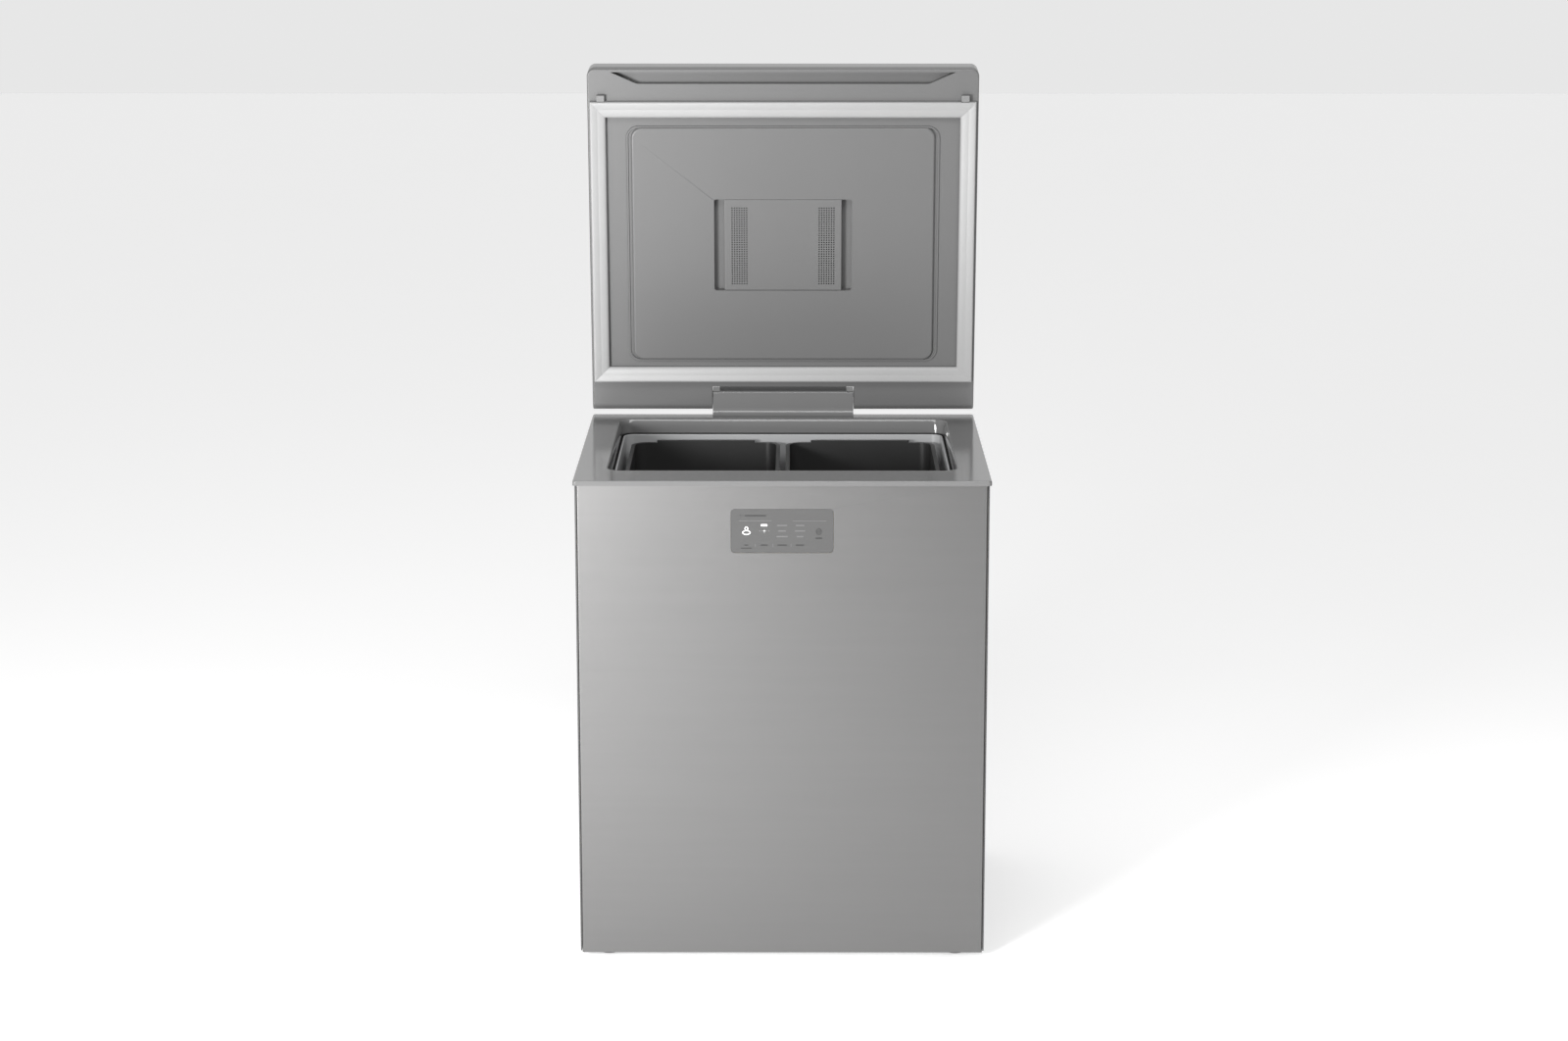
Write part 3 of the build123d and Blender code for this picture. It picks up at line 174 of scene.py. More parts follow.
# Finishes by material slot. Sizes are metres
finishLooks = {
    "frame_grey": dict(shade=grey(0.15), drift=0.03, driftSize=0.11, rough=0.11, roughGrain=0.04,
                       grainSize=0.0012, relief=0.008, ior=1.5),
    "lid_grey": dict(shade=grey(0.115), drift=0.03, driftSize=0.14, rough=0.36, roughGrain=0.08,
                     grainSize=0.0009, relief=0.03),
    "lid_silver": dict(shade=grey(0.34), drift=0.03, driftSize=0.16, rough=0.34, roughGrain=0.08,
                       grainSize=0.0007, relief=0.02, metal=0.6),
    "front_silver": dict(shade=grey(0.180, 0.006), drift=0.03, driftSize=0.05, stretch=(0.15, 1, 3),
                         rough=0.40, roughGrain=0.12, grainSize=0.0009, grainStretch=(0.03, 1, 1),
                         relief=0.015, metal=0.85),
    "side_grey": dict(shade=grey(0.075), drift=0.05, driftSize=0.12, rough=0.34, roughGrain=0.10,
                      grainSize=0.0016, relief=0.04),
    "control_grey": dict(shade=grey(0.085, 0.005), drift=0.02, driftSize=0.06, rough=0.16,
                         roughGrain=0.04, grainSize=0.0010, relief=0.006),
    "liner_grey": dict(shade=grey(0.42, -0.010), drift=0.03, driftSize=0.10, rough=0.34,
                       roughGrain=0.10, grainSize=0.0014, relief=0.04),
    "bin_charcoal": dict(shade=grey(0.026), drift=0.10, driftSize=0.04, rough=0.38, roughGrain=0.18,
                         grainSize=0.0008, relief=0.10),
    "gasket_grey": dict(shade=grey(0.31), drift=0.03, driftSize=0.06, rough=0.50, roughGrain=0.12,
                        grainSize=0.0007, relief=0.04),
    "bumper_grey": dict(shade=grey(0.17), drift=0.04, driftSize=0.02, rough=0.55, roughGrain=0.12,
                        grainSize=0.0006, relief=0.05),
    "foam": dict(shade=(0.80, 0.70, 0.42), drift=0.10, driftSize=0.03, rough=0.9, roughGrain=0.1,
                 grainSize=0.0022, relief=0.6),
    "galvanised_steel": dict(shade=grey(0.46, -0.01), drift=0.12, driftSize=0.08, rough=0.38,
                             roughGrain=0.12, grainSize=0.0010, relief=0.03, metal=0.8, spangle=0.012,
                             spangleGrain=0.12),
    "bright_steel": dict(shade=grey(0.60), drift=0.04, driftSize=0.02, rough=0.20, roughGrain=0.12,
                         grainSize=0.0005, relief=0.04, metal=1.0),
    "black_plastic": dict(shade=grey(0.022), drift=0.08, driftSize=0.03, rough=0.50, roughGrain=0.16,
                          grainSize=0.0008, relief=0.12),
    "black_enamel": dict(shade=grey(0.014), drift=0.10, driftSize=0.05, rough=0.30, roughGrain=0.16,
                         grainSize=0.0018, relief=0.08, coat=0.3),
    "black_rubber": dict(shade=grey(0.014), drift=0.10, driftSize=0.02, rough=0.72, roughGrain=0.14,
                         grainSize=0.0009, relief=0.12),
    "copper": dict(shade=(0.72, 0.33, 0.19), drift=0.14, driftSize=0.03, rough=0.30, roughGrain=0.16,
                   grainSize=0.0012, relief=0.05, metal=1.0),
    "tube_steel": dict(shade=grey(0.020), drift=0.10, driftSize=0.04, rough=0.42, roughGrain=0.14,
                       grainSize=0.0010, relief=0.08),
    "tube_aluminium": dict(shade=grey(0.66), drift=0.05, driftSize=0.03, rough=0.36, roughGrain=0.14,
                           grainSize=0.0008, relief=0.05, metal=1.0),
    "board_green": dict(shade=(0.012, 0.105, 0.040), drift=0.14, driftSize=0.012, rough=0.36,
                        roughGrain=0.14, grainSize=0.0010, relief=0.08),
    "magnet": dict(shade=(0.040, 0.034, 0.030), drift=0.08, driftSize=0.02, rough=0.66, roughGrain=0.10,
                   grainSize=0.0008, relief=0.10),
    "filter_charcoal": dict(shade=grey(0.016), drift=0.20, driftSize=0.004, rough=0.86, roughGrain=0.12,
                            grainSize=0.0010, relief=0.7),
}
materials = {slot: finish(slot, look) for slot, look in finishLooks.items()}
for node, piece in nodes.items():
    piece.data.materials.clear()
    piece.data.materials.append(materials[slotOf[node]])
print("finishes made:", len(materials))


def addObject(name, data):
    made = bpy.data.objects.new(name, data)
    bpy.context.scene.collection.objects.link(made)
    return made


# Turns an object with live modifiers into a plain mesh piece and removes the source
def settle(source, name):
    graph = bpy.context.evaluated_depsgraph_get()
    piece = addObject(name, bpy.data.meshes.new_from_object(source.evaluated_get(graph)))
    bpy.data.objects.remove(source)
    return piece


def place(piece, body, replaced=()):
    if replaced:
        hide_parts(*replaced)
    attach(piece, body)


def meshObject(name, vertices, faces, material):
    mesh = bpy.data.meshes.new(name)
    mesh.from_pydata([tuple(v) for v in vertices], [], faces)
    mesh.materials.append(material)
    mesh.update()
    return addObject(name, mesh)


def turnOutwards(mesh):
    work = bmesh.new()
    work.from_mesh(mesh)
    bmesh.ops.recalc_face_normals(work, faces=work.faces)
    work.to_mesh(mesh)
    work.free()


# Angles in degrees, lengths in metres
smoothLook = dict(flat=0.2, crease=32, weld=1e-6, thinEdge=1e-7)


# Corner normals in which the flat regions lead, so that a rounding blends into an even face
def leadNormals(mesh, look):
    sameRegion = math.cos(math.radians(look["flat"]))
    sameSurface = math.cos(math.radians(look["crease"]))
    faceCount = len(mesh.polygons)
    normals = np.empty(faceCount * 3)
    mesh.polygon_normals.foreach_get("vector", normals)
    normals = normals.reshape(-1, 3)
    areas = np.empty(faceCount)
    mesh.polygons.foreach_get("area", areas)
    loopVertex = np.empty(len(mesh.loops), int)
    mesh.loops.foreach_get("vertex_index", loopVertex)
    loopEdge = np.empty(len(mesh.loops), int)
    mesh.loops.foreach_get("edge_index", loopEdge)
    totals = np.empty(faceCount, int)
    mesh.polygons.foreach_get("loop_total", totals)
    loopFace = np.repeat(np.arange(faceCount), totals)
    # faces that share an edge and lie in one plane are joined into regions
    byEdge = np.argsort(loopEdge, kind="stable")
    twins = loopEdge[byEdge][1:] == loopEdge[byEdge][:-1]
    first = loopFace[byEdge][:-1][twins]
    second = loopFace[byEdge][1:][twins]
    flat = np.einsum("ij,ij->i", normals[first], normals[second]) > sameRegion
    parent = np.arange(faceCount)
    for one, other in zip(first[flat], second[flat]):
        while parent[one] != one:
            parent[one] = parent[parent[one]]
            one = parent[one]
        while parent[other] != other:
            parent[other] = parent[parent[other]]
            other = parent[other]
        parent[max(one, other)] = min(one, other)
    while np.any(parent != parent[parent]):
        parent = parent[parent]
    regionArea = np.bincount(parent, areas, faceCount)[parent]
    # each corner looks at all corners of its vertex
    order = np.argsort(loopVertex, kind="stable")
    counts = np.bincount(loopVertex, minlength=len(mesh.vertices))
    starts = np.concatenate(([0], np.cumsum(counts)[:-1]))
    valence = counts[loopVertex]
    here = np.repeat(np.arange(len(mesh.loops)), valence)
    offset = np.arange(len(here)) - np.repeat(np.cumsum(valence) - valence, valence)
    there = order[starts[loopVertex[here]] + offset]
    nearby = normals[loopFace[there]]
    close = np.einsum("ij,ij->i", normals[loopFace[here]], nearby) > sameSurface
    weights = regionArea[loopFace[there]] * close
    led = np.stack([np.bincount(here, nearby[:, axis] * weights) for axis in range(3)], axis=1)
    led /= np.linalg.norm(led, axis=1)[:, None]
    mesh.shade_smooth()
    mesh.normals_split_custom_set(led.tolist())


# Smooth copies of the moulded and pressed pieces, with crisp edges kept by angle
def smoothNode(node, look):
    mesh = nodes[node].data.copy()
    work = bmesh.new()
    work.from_mesh(mesh)
    bmesh.ops.remove_doubles(work, verts=work.verts, dist=look["weld"])
    bmesh.ops.dissolve_degenerate(work, edges=work.edges, dist=look["thinEdge"])
    work.to_mesh(mesh)
    work.free()
    leadNormals(mesh, look)
    place(addObject(node + "_surface", mesh), bodyOf[node], [node])


smoothed = [
    "top_frame", "front_panel", "inner_liner", "bin_left", "bin_right", "lower_bin_left",
    "lower_bin_right", "mouth_seal", "lid_inner_panel", "lid_outer_panel", "lid_bumpers",
    "hinge_housing", "hinge_shaft", "hinge_springs", "hinge_bushes", "control_window", "compressor",
    "evaporator_tube", "condenser_coil", "refrigerant_pipes", "filter_drier", "fan_blade",
    "fan_motor", "front_foot_left", "front_foot_right", "rear_roller_left", "rear_roller_right",
    "roller_axles", "cable_gland", "compressor_mounts", "sensor_cover",
]
for node in smoothed:
    smoothNode(node, smoothLook)
print("surfaces smoothed:", len(smoothed))

# The lid's own plane: across, forwards from the hinge, and out of the inner face
hinge = next(joint for joint in frame["joints"] if joint["name"] == "lid_hinge")
openAngle = math.radians(-hinge["range_deg"][0])
across = Vector((1, 0, 0))
along = Vector((0, -math.cos(openAngle), math.sin(openAngle)))
inward = across.cross(along)
lidTurn = Matrix((across, along, inward)).transposed().to_4x4()
lidMatrix = Matrix.Translation(Vector(hinge["pos_m"])) @ lidTurn

gasketLook = dict(
    half=329.3, rear=31.8, front=525.5, foot=20.0, seamSpan=0.9, seamDepth=0.35, seamAbove=9.0,
    sharp=40,
    # distance in from the outer edge, height above the inner face
    profile=[
        (0.8, 0.0), (0.2, 1.2), (0.0, 4.0), (0.2, 8.6), (0.9, 10.4), (2.2, 11.3), (4.0, 11.6),
        (11.6, 11.6), (12.6, 11.35), (13.4, 11.35), (14.4, 11.6), (22.0, 11.6), (24.4, 11.2),
        (26.2, 10.0), (27.1, 8.0), (27.2, 5.0), (26.8, 3.2), (25.6, 2.6), (25.4, 1.0), (25.8, 0.0),
    ],
)


# The gasket's profile carried round a rectangle, with a shallow seam at each mitre
def gasket(look):
    middle = (look["rear"] + look["front"]) / 2
    halfLength = (look["front"] - look["rear"]) / 2
    corners = [(-1, -1), (1, -1), (1, 1), (-1, 1)]
    vertices = []
    for depth, height in look["profile"]:
        for index, (sideX, sideY) in enumerate(corners):
            cornerX = sideX * (look["half"] - depth)
            cornerY = sideY * (halfLength - depth)
            alongX = (-sideX, 0)
            alongY = (0, -sideY)
            steps = (alongY, None, alongX) if index % 2 == 0 else (alongX, None, alongY)
            for step in steps:
                moved = (0, 0) if step is None else step
                drop = look["seamDepth"] if step is None and height > look["seamAbove"] else 0
                vertices.append(
                    Vector((
                        cornerX + moved[0] * look["seamSpan"],
                        middle + cornerY + moved[1] * look["seamSpan"],
                        look["foot"] + height - drop,
                    )) * mm
                )
    loop = len(corners) * 3
    count = len(look["profile"])
    faces = []
    for ring in range(count):
        following = (ring + 1) % count
        for step in range(loop):
            ahead = (step + 1) % loop
            faces.append((
                ring * loop + step, ring * loop + ahead,
                following * loop + ahead, following * loop + step,
            ))
    made = meshObject("lid_gasket_source", vertices, faces, materials["gasket_grey"])
    made.data.transform(lidMatrix)
    turnOutwards(made.data)
    made.data.shade_smooth()
    made.data.set_sharp_from_angle(angle=math.radians(look["sharp"]))
    place(settle(made, "lid_gasket_surface"), "lid", ["lid_gasket"])


gasket(gasketLook)
print("gasket made")


# A node group that repeats its own input mesh on a flat grid
def gridRepeater(name):
    tree = bpy.data.node_groups.new(name, "GeometryNodeTree")
    tree.interface.new_socket("Geometry", in_out="INPUT", socket_type="NodeSocketGeometry")
    for label, kind in (
        ("Columns", "NodeSocketInt"), ("Rows", "NodeSocketInt"),
        ("Width", "NodeSocketFloat"), ("Length", "NodeSocketFloat"),
        ("Material", "NodeSocketMaterial"),
    ):
        tree.interface.new_socket(label, in_out="INPUT", socket_type=kind)
    tree.interface.new_socket("Geometry", in_out="OUTPUT", socket_type="NodeSocketGeometry")
    entry = tree.nodes.new("NodeGroupInput")
    leave = tree.nodes.new("NodeGroupOutput")
    grid = tree.nodes.new("GeometryNodeMeshGrid")
    instance = tree.nodes.new("GeometryNodeInstanceOnPoints")
    realize = tree.nodes.new("GeometryNodeRealizeInstances")
    weld = tree.nodes.new("GeometryNodeMergeByDistance")
    paint = tree.nodes.new("GeometryNodeSetMaterial")
    weld.inputs["Distance"].default_value = smoothLook["weld"]
    for start, end in (
        (entry.outputs["Width"], grid.inputs["Size X"]),
        (entry.outputs["Length"], grid.inputs["Size Y"]),
        (entry.outputs["Columns"], grid.inputs["Vertices X"]),
        (entry.outputs["Rows"], grid.inputs["Vertices Y"]),
        (grid.outputs["Mesh"], instance.inputs["Points"]),
        (entry.outputs["Geometry"], instance.inputs["Instance"]),
        (instance.outputs["Instances"], realize.inputs["Geometry"]),
        (realize.outputs["Geometry"], weld.inputs["Geometry"]),
        (weld.outputs["Geometry"], paint.inputs["Geometry"]),
        (entry.outputs["Material"], paint.inputs["Material"]),
        (paint.outputs["Geometry"], leave.inputs["Geometry"]),
    ):
        tree.links.new(start, end)
    return tree


repeater = gridRepeater("repeat on a grid")


# Repeats a small mesh on a grid of columns and rows at a pitch, and returns a plain mesh object
def repeatMesh(cell, name, columns, rows, pitchX, pitchY, material):
    modifier = cell.modifiers.new("repeat", "NODES")
    modifier.node_group = repeater
    values = {
        "Columns": columns,
        "Rows": rows,
        "Width": (columns - 1) * pitchX,
        "Length": (rows - 1) * pitchY,
        "Material": material,
    }
    for item in repeater.interface.items_tree:
        if item.item_type == "SOCKET" and item.in_out == "INPUT" and item.name in values:
            modifier[item.identifier] = values[item.name]
    return settle(cell, name)


coverLook = dict(
    half=101.0, rear=195.8, front=355.9, top=26.0, sheet=1.4, skirt=12.0, wall=1.8, edge=1.4,
    bandMiddle=75.0, columns=7, rows=34, pitchX=4.2, pitchY=4.04, bandRear=205.8,
    holeRadius=1.2, holeSides=12, weld=0.002, near=0.01, edgeSteps=4, sharp=30,
)


# One cell of the vent band: a square of sheet with a round hole through it
def ventCell(look, material):
    halfX = look["pitchX"] / 2
    halfY = look["pitchY"] / 2
    sides = look["holeSides"]
    vertices = []
    for level in (look["top"], look["top"] - look["sheet"]):
        vertices += [Vector((x, y, level)) * mm for x, y in
                     ((-halfX, -halfY), (halfX, -halfY), (halfX, halfY), (-halfX, halfY))]
        for step in range(sides):
            turn = math.tau * (step + 0.5) / sides - math.pi * 0.75
            hole = (look["holeRadius"] * math.cos(turn), look["holeRadius"] * math.sin(turn), level)
            vertices.append(Vector(hole) * mm)
    faces = []
    quarter = sides // 4
    for level in (0, 1):
        base = level * (4 + sides)
        for corner in range(4):
            ring = [base + 4 + (corner * quarter + step) % sides for step in range(quarter)]
            nearRing = [base + corner, base + (corner + 1) % 4]
            between = base + 4 + ((corner + 1) * quarter) % sides
            face = [nearRing[0], nearRing[1], between] + ring[::-1]
            faces.append(face if level == 0 else face[::-1])
    for step in range(sides):
        ahead = (step + 1) % sides
        faces.append((4 + step, 4 + ahead, 8 + sides + ahead, 8 + sides + step))
    return meshObject("vent_cell", vertices, faces, material)


# Filter cover: a skirted plate with two bands of real perforations
def filterCover(look):
    material = materials["lid_grey"]
    bandHalf = look["columns"] * look["pitchX"] / 2
    bandFront = look["bandRear"] + look["rows"] * look["pitchY"]
    breaksX = {-look["half"], -look["half"] + look["wall"], look["half"] - look["wall"], look["half"]}
    for side in (-1, 1):
        for step in range(look["columns"] + 1):
            breaksX.add(round(side * look["bandMiddle"] - bandHalf + step * look["pitchX"], 4))
    breaksY = {look["rear"], look["rear"] + look["wall"], look["front"] - look["wall"], look["front"]}
    for step in range(look["rows"] + 1):
        breaksY.add(round(look["bandRear"] + step * look["pitchY"], 4))
    breaksX = sorted(breaksX)
    breaksY = sorted(breaksY)

    # how deep the plate is in one cell, or None in a vent band
    def depthAt(column, row):
        if not (0 <= column < len(breaksX) - 1 and 0 <= row < len(breaksY) - 1):
            return 0
        x = (breaksX[column] + breaksX[column + 1]) / 2
        y = (breaksY[row] + breaksY[row + 1]) / 2
        if min(look["half"] - abs(x), y - look["rear"], look["front"] - y) < look["wall"]:
            return look["skirt"]
        if abs(abs(x) - look["bandMiddle"]) < bandHalf and look["bandRear"] < y < bandFront:
            return None
        return look["sheet"]

    work = bmesh.new()
    corners = {}

    def corner(column, row, depth):
        key = (column, row, depth)
        if key not in corners:
            corners[key] = work.verts.new(
                Vector((breaksX[column], breaksY[row], look["top"] - depth)) * mm
            )
        return corners[key]

    for column in range(len(breaksX) - 1):
        for row in range(len(breaksY) - 1):
            depth = depthAt(column, row)
            if not depth:
                continue
            square = [(column, row), (column + 1, row), (column + 1, row + 1), (column, row + 1)]
            work.faces.new([corner(c, r, 0) for c, r in square])
            work.faces.new([corner(c, r, depth) for c, r in reversed(square)])
            neighbours = [(column, row - 1), (column + 1, row), (column, row + 1), (column - 1, row)]
            for side in range(4):
                beyond = depthAt(*neighbours[side])
                if beyond is None or beyond >= depth:
                    continue
                first = square[side]
                second = square[(side + 1) % 4]
                work.faces.new([
                    corner(*first, depth), corner(*second, depth),
                    corner(*second, beyond), corner(*first, beyond),
                ])
    plate = bpy.data.meshes.new("filter_cover_plate")
    work.to_mesh(plate)
    work.free()
    plate.materials.append(material)
    plateObject = addObject("filter_cover_plate", plate)
    bandMiddleY = (look["bandRear"] + bandFront) / 2
    joined = bmesh.new()
    joined.from_mesh(plate)
    for side in (-1, 1):
        band = repeatMesh(
            ventCell(look, material), "vent_band", look["columns"], look["rows"],
            look["pitchX"] * mm, look["pitchY"] * mm, material,
        )
        band.data.transform(Matrix.Translation(Vector((side * look["bandMiddle"], bandMiddleY, 0)) * mm))
        joined.from_mesh(band.data)
        bpy.data.objects.remove(band)
    bmesh.ops.remove_doubles(joined, verts=joined.verts, dist=look["weld"] * mm)
    weight = joined.edges.layers.float.new("bevel_weight_edge")
    rim = look["near"] * mm
    for edge in joined.edges:
        onTop = all(abs(v.co.z - look["top"] * mm) < rim for v in edge.verts)
        outerX = all(abs(abs(v.co.x) - look["half"] * mm) < rim for v in edge.verts)
        outerY = all(
            min(abs(v.co.y - look["rear"] * mm), abs(v.co.y - look["front"] * mm)) < rim
            for v in edge.verts
        )
        if onTop and (outerX or outerY):
            edge[weight] = 1.0
    bmesh.ops.recalc_face_normals(joined, faces=joined.faces)
    joined.to_mesh(plate)
    joined.free()
    rounding = plateObject.modifiers.new("rounded rim", "BEVEL")
    rounding.limit_method = "WEIGHT"
    rounding.width = look["edge"] * mm
    rounding.segments = look["edgeSteps"]
    piece = settle(plateObject, "filter_cover_perforated")
    piece.data.transform(lidMatrix)
    piece.data.shade_smooth()
    piece.data.set_sharp_from_angle(angle=math.radians(look["sharp"]))
    place(piece, "filter_cover", ["filter_cover"])


filterCover(coverLook)
print("filter cover made")

# Rear vent hoods over the slots of the machine room cover
hoodLook = dict(
    length=54.0, width=5.0, reach=0.62, rise=2.6, sheet=0.7, arcs=6, stations=9, thinnest=0.06, sharp=40,
    middles=[(-160, 100), (0, 100), (150, 115)], columns=2, rows=10, pitchX=64.0, pitchZ=11.0,
)


# One pressed hood: a quarter-round lip along the upper side of a slot
def hoodCell(look, material):
    vertices = []
    stations = look["stations"]
    outer = look["width"] * look["reach"]
    for station in range(stations):
        share = station / (stations - 1) * 2 - 1
        x = share * look["length"] / 2
        swell = max(look["thinnest"], 1 - abs(share) ** 6)
        for radius in (outer, outer - look["sheet"]):
            for step in range(look["arcs"] + 1):
                turn = math.pi / 2 * step / look["arcs"]
                vertices.append(Vector((
                    x,
                    outer - radius * math.cos(turn) * swell,
                    radius * math.sin(turn) * look["rise"] / outer * swell,
                )) * mm)
    ring = 2 * (look["arcs"] + 1)
    half = look["arcs"] + 1
    order = list(range(half)) + list(range(ring - 1, half - 1, -1))
    faces = [tuple(order), tuple(index + (stations - 1) * ring for index in reversed(order))]
    for station in range(stations - 1):
        for step in range(ring):
            first = order[step]
            second = order[(step + 1) % ring]
            faces.append((
                station * ring + second, station * ring + first,
                (station + 1) * ring + first, (station + 1) * ring + second,
            ))
    made = meshObject("hood_cell", vertices, faces, material)
    turnOutwards(made.data)
    return made


def ventHoods(look):
    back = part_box("machine_room_cover")[1].y
    material = materials["galvanised_steel"]
    # grid X stays across, grid Y becomes height and the hood rises backwards
    stand = Matrix(((1, 0, 0), (0, 0, 1), (0, 1, 0))).to_4x4()
    work = bmesh.new()
    for middleX, middleZ in look["middles"]:
        block = repeatMesh(
            hoodCell(look, material), "hood_block", look["columns"], look["rows"],
            look["pitchX"] * mm, look["pitchZ"] * mm, material,
        )
        block.data.transform(stand)
        block.data.transform(Matrix.Translation(Vector((middleX * mm, back, middleZ * mm))))
        work.from_mesh(block.data)
        bpy.data.objects.remove(block)
    bmesh.ops.recalc_face_normals(work, faces=work.faces)
    mesh = bpy.data.meshes.new("vent_hoods")
    work.to_mesh(mesh)
    work.free()
    mesh.materials.append(material)
    mesh.shade_smooth()
    mesh.set_sharp_from_angle(angle=math.radians(look["sharp"]))
    place(addObject("vent_hoods", mesh), "cabinet")


ventHoods(hoodLook)
print("vent hoods made")

# Marks printed on the control window, measured from its middle: x, z, width, height. The light marks also get a
# painted glow on top of their print
markLook = dict(
    thickness=0.12, rounding=0.49, roundSteps=5, ringSides=32,
    # level and painted glow
    tones={"lit": (0.85, 0.35), "dark": (0.03, 0.0), "faint": (0.12, 0.0)},
    # light marks: pale print with a painted glow
    lit=[(-28.7, 9.4, 12.8, 3.2), (-28.4, 0.1, 7.0, 7.0)],
    dark=[(-66.6, 25.5, 8.5, 8.5), (-42.5, 25.0, 36.0, 2.6), (58.6, -11.8, 12.6, 2.4),
          (-57.2, -23.2, 8.0, 2.2), (-57.2, -28.2, 19.0, 1.8), (-28.7, -23.2, 13.0, 2.4),
          (0.0, -23.2, 17.0, 2.4), (28.2, -23.2, 15.0, 2.4)],
    faint=[(-43.0, 16.8, 53.0, 0.9), (44.0, 16.4, 54.0, 0.9),
           (-35.6, 0.1, 4.4, 2.2), (-21.2, 0.1, 4.4, 2.2),
           (0.0, 9.1, 18.0, 2.0), (0.0, 0.0, 14.0, 2.0), (0.0, -9.1, 20.0, 2.0),
           (28.6, 9.1, 15.0, 2.0), (28.6, 0.0, 18.0, 2.0), (28.6, -9.1, 12.0, 2.0),
           (-42.8, -23.5, 0.7, 6.0), (-14.6, -23.5, 0.7, 6.0), (14.2, -23.5, 0.7, 6.0)],
    # x, z, half width, half height, line
    litRings=[(-57.0, -2.6, 6.6, 3.8, 1.3), (-57.0, 3.8, 2.9, 3.4, 1.2)],
    darkRings=[(58.6, -1.0, 4.6, 5.4, 1.5), (58.6, -1.0, 1.9, 2.4, 0.9)],
)


# A mark's print colour, with a painted glow on top where the glow is above zero
def markMaterial(name, level, glow):
    look = dict(shade=grey(level), drift=0.04, driftSize=0.01, rough=0.4, roughGrain=0.1,
                grainSize=0.0006, relief=0.01)
    material = finish(name, look)
    addGlow(material, glow)
    return material


def markPiece(work, name, material):
    bmesh.ops.recalc_face_normals(work, faces=work.faces)
    mesh = bpy.data.meshes.new(name)
    work.to_mesh(mesh)
    work.free()
    mesh.materials.append(material)
    place(addObject(name, mesh), "cabinet")


# Closed outlines from outer to inner, raised by the mark's thickness
def markRing(work, centre, halfWidth, halfHeight, line, look):
    sides = look["ringSides"]
    loops = []
    for inset, lift in ((0, 0), (0, 1), (line, 1), (line, 0)):
        loops.append([
            work.verts.new((
                centre.x + (halfWidth - inset) * math.cos(math.tau * step / sides) * mm,
                centre.y - lift * look["thickness"] * mm,
                centre.z + (halfHeight - inset) * math.sin(math.tau * step / sides) * mm,
            )) for step in range(sides)
        ])
    for ring in range(4):
        for step in range(sides):
            ahead = (step + 1) % sides
            work.faces.new((
                loops[ring][step], loops[ring][ahead],
                loops[(ring + 1) % 4][ahead], loops[(ring + 1) % 4][step],
            ))


def markBar(work, centre, width, height, look):
    thickness = look["thickness"]
    middle = centre - Vector((0, thickness * mm / 2, 0))
    size = Matrix.Diagonal((width * mm, thickness * mm, height * mm, 1))
    made = bmesh.ops.create_cube(work, size=1, matrix=Matrix.Translation(middle) @ size)
    upright = {
        edge for vertex in made["verts"] for edge in vertex.link_edges
        if abs(edge.verts[0].co.y - edge.verts[1].co.y) > thickness * mm / 2
    }
    bmesh.ops.bevel(
        work, geom=list(upright), offset=min(width, height) * look["rounding"] * mm,
        segments=look["roundSteps"], affect="EDGES",
    )


def controlMarks(look):
    low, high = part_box("control_window")
    face = Vector(((low.x + high.x) / 2, low.y, (low.z + high.z) / 2))
    for tone, (level, glow) in look["tones"].items():
        work = bmesh.new()
        for x, z, width, height in look[tone]:
            markBar(work, face + Vector((x, 0, z)) * mm, width, height, look)
        for x, z, halfWidth, halfHeight, line in look.get(tone + "Rings", []):
            markRing(work, face + Vector((x, 0, z)) * mm, halfWidth, halfHeight, line, look)
        markPiece(work, "control_marks_" + tone, markMaterial("mark_" + tone, level, glow))


controlMarks(markLook)
print("control marks made")

# Studio: a pale floor, a bright backdrop behind, a dimmer room in front, and soft boxes
studio = dict(
    floorSize=30.0, floorShade=0.80, floorGlow=0.44,
    # brightness of the room: in front, behind, and as the camera sees it; then where it turns
    front=0.28, back=1.0, seen=0.86, turnFrom=-0.3, turnTo=0.6,
    boxes=[
        # name, place, aim, width, height, power
        ("key_left", (-1.25, -2.3, 0.95), (-0.1, -0.3, 0.65), 0.7, 0.7, 95),
        ("top_soft", (0.2, -1.3, 2.6), (0, 0.2, 1.2), 1.8, 0.9, 30),
    ],
)


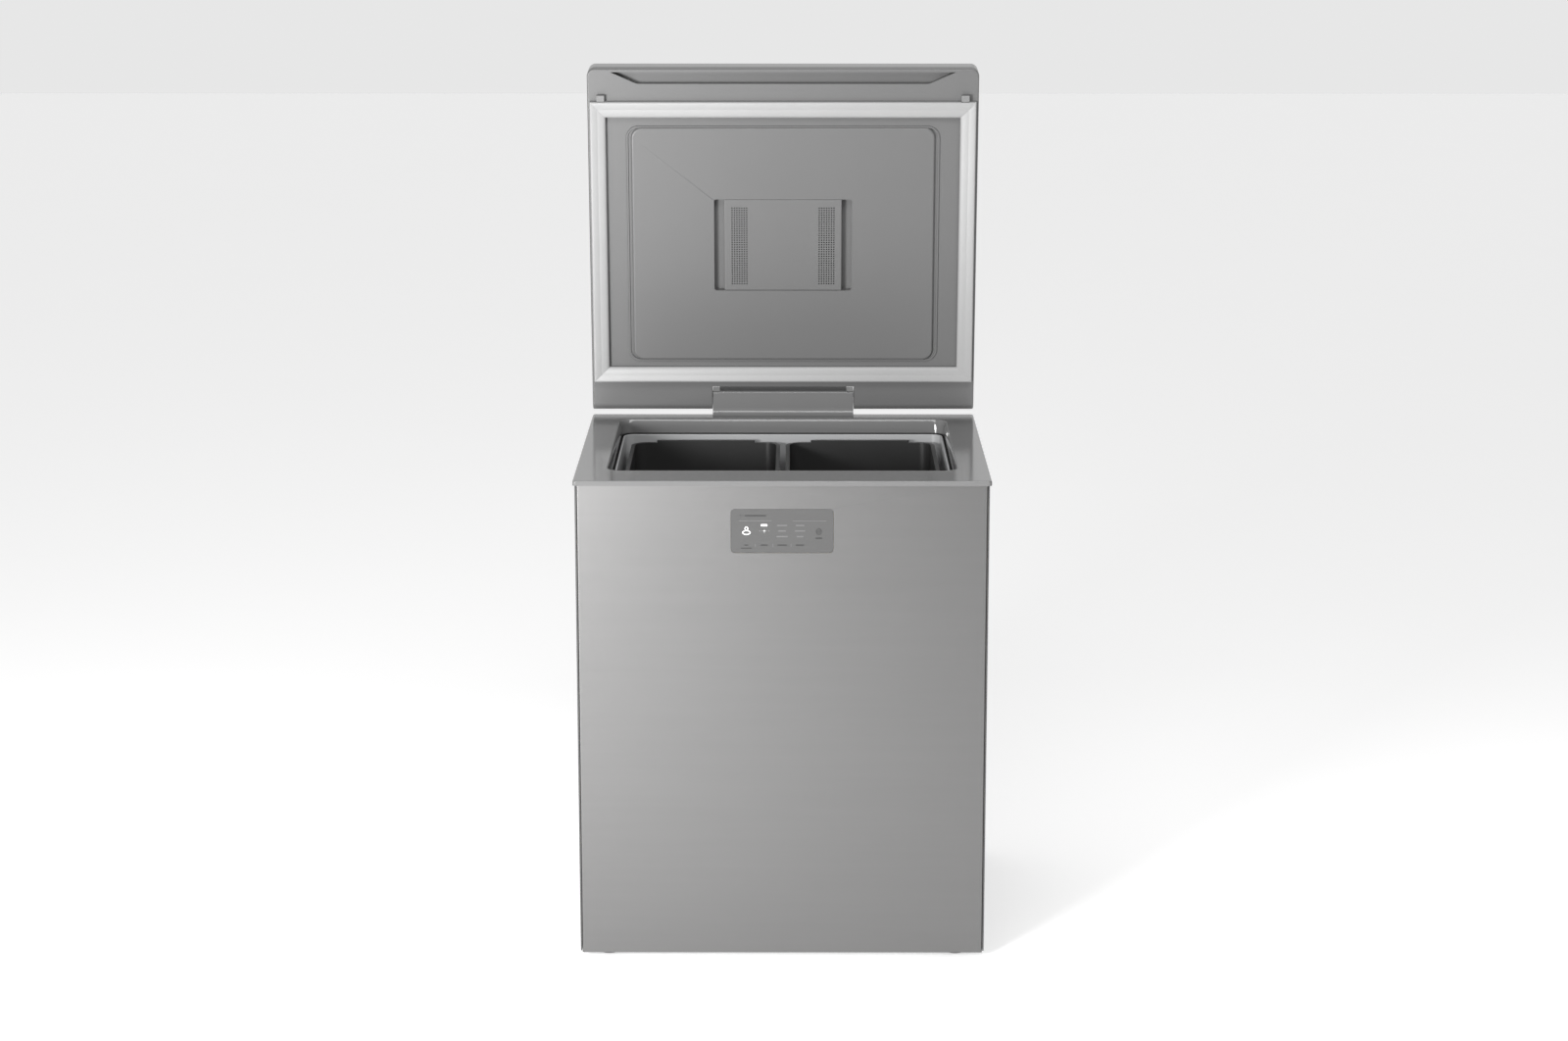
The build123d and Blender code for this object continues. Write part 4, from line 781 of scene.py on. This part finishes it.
def buildStudio(look):
    half = look["floorSize"] / 2
    floorZ = cadBox[0].z
    material = finish("floor_pale", dict(
        shade=grey(look["floorShade"]), drift=0.01, driftSize=0.6, rough=0.8, roughGrain=0.1,
        grainSize=0.004, relief=0.02,
    ))
    addGlow(material, look["floorGlow"])
    floor = meshObject(
        "floor",
        [(-half, -half, floorZ), (half, -half, floorZ), (half, half, floorZ), (-half, half, floorZ)],
        [(0, 1, 2, 3)],
        material,
    )
    world = bpy.data.worlds.new("surround")
    world.use_nodes = True
    tree = world.node_tree
    tree.nodes.clear()
    output = tree.nodes.new("ShaderNodeOutputWorld")
    background = tree.nodes.new("ShaderNodeBackground")
    tree.links.new(background.outputs[0], output.inputs["Surface"])
    heading = Wire(tree, tree.nodes.new("ShaderNodeTexCoord").outputs["Generated"])
    depth = heading.add("ShaderNodeSeparateXYZ", None, {"Vector": heading}, output="Y")
    strength = depth.add(
        "ShaderNodeMapRange",
        {"interpolation_type": "SMOOTHSTEP"},
        {
            "Value": depth, "From Min": look["turnFrom"], "From Max": look["turnTo"],
            "To Min": look["front"], "To Max": look["back"],
        },
    )
    seen = Wire(tree, tree.nodes.new("ShaderNodeLightPath").outputs["Is Camera Ray"])
    shown = seen * look["seen"]
    brightness = strength.maths("MAXIMUM", strength, shown)
    tree.links.new(brightness.socket, background.inputs["Strength"])
    bpy.context.scene.world = world
    for name, spot, aim, width, height, power in look["boxes"]:
        lamp = bpy.data.lights.new(name, "AREA")
        lamp.shape = "RECTANGLE"
        lamp.size = width
        lamp.size_y = height
        lamp.energy = power
        lampObject = addObject(name, lamp)
        lampObject.location = spot
        direction = Vector(aim) - Vector(spot)
        lampObject.rotation_euler = direction.to_track_quat("-Z", "Y").to_euler()
        lampObject.visible_camera = False
    bpy.context.scene.view_settings.view_transform = "Standard"


buildStudio(studio)

viewLook = dict(
    place=(0.0155, -5.4375, 1.886), aim=(0.003, -0.3075, 0.736), lens=75.8, sensor=36.0,
)
camera = bpy.data.cameras.new("camera")
camera.lens = viewLook["lens"]
camera.sensor_width = viewLook["sensor"]
cameraObject = addObject("camera", camera)
cameraObject.location = viewLook["place"]
lookAt = Vector(viewLook["aim"]) - Vector(viewLook["place"])
cameraObject.rotation_euler = lookAt.to_track_quat("-Z", "Y").to_euler()
bpy.context.scene.camera = cameraObject
print("studio and camera made")
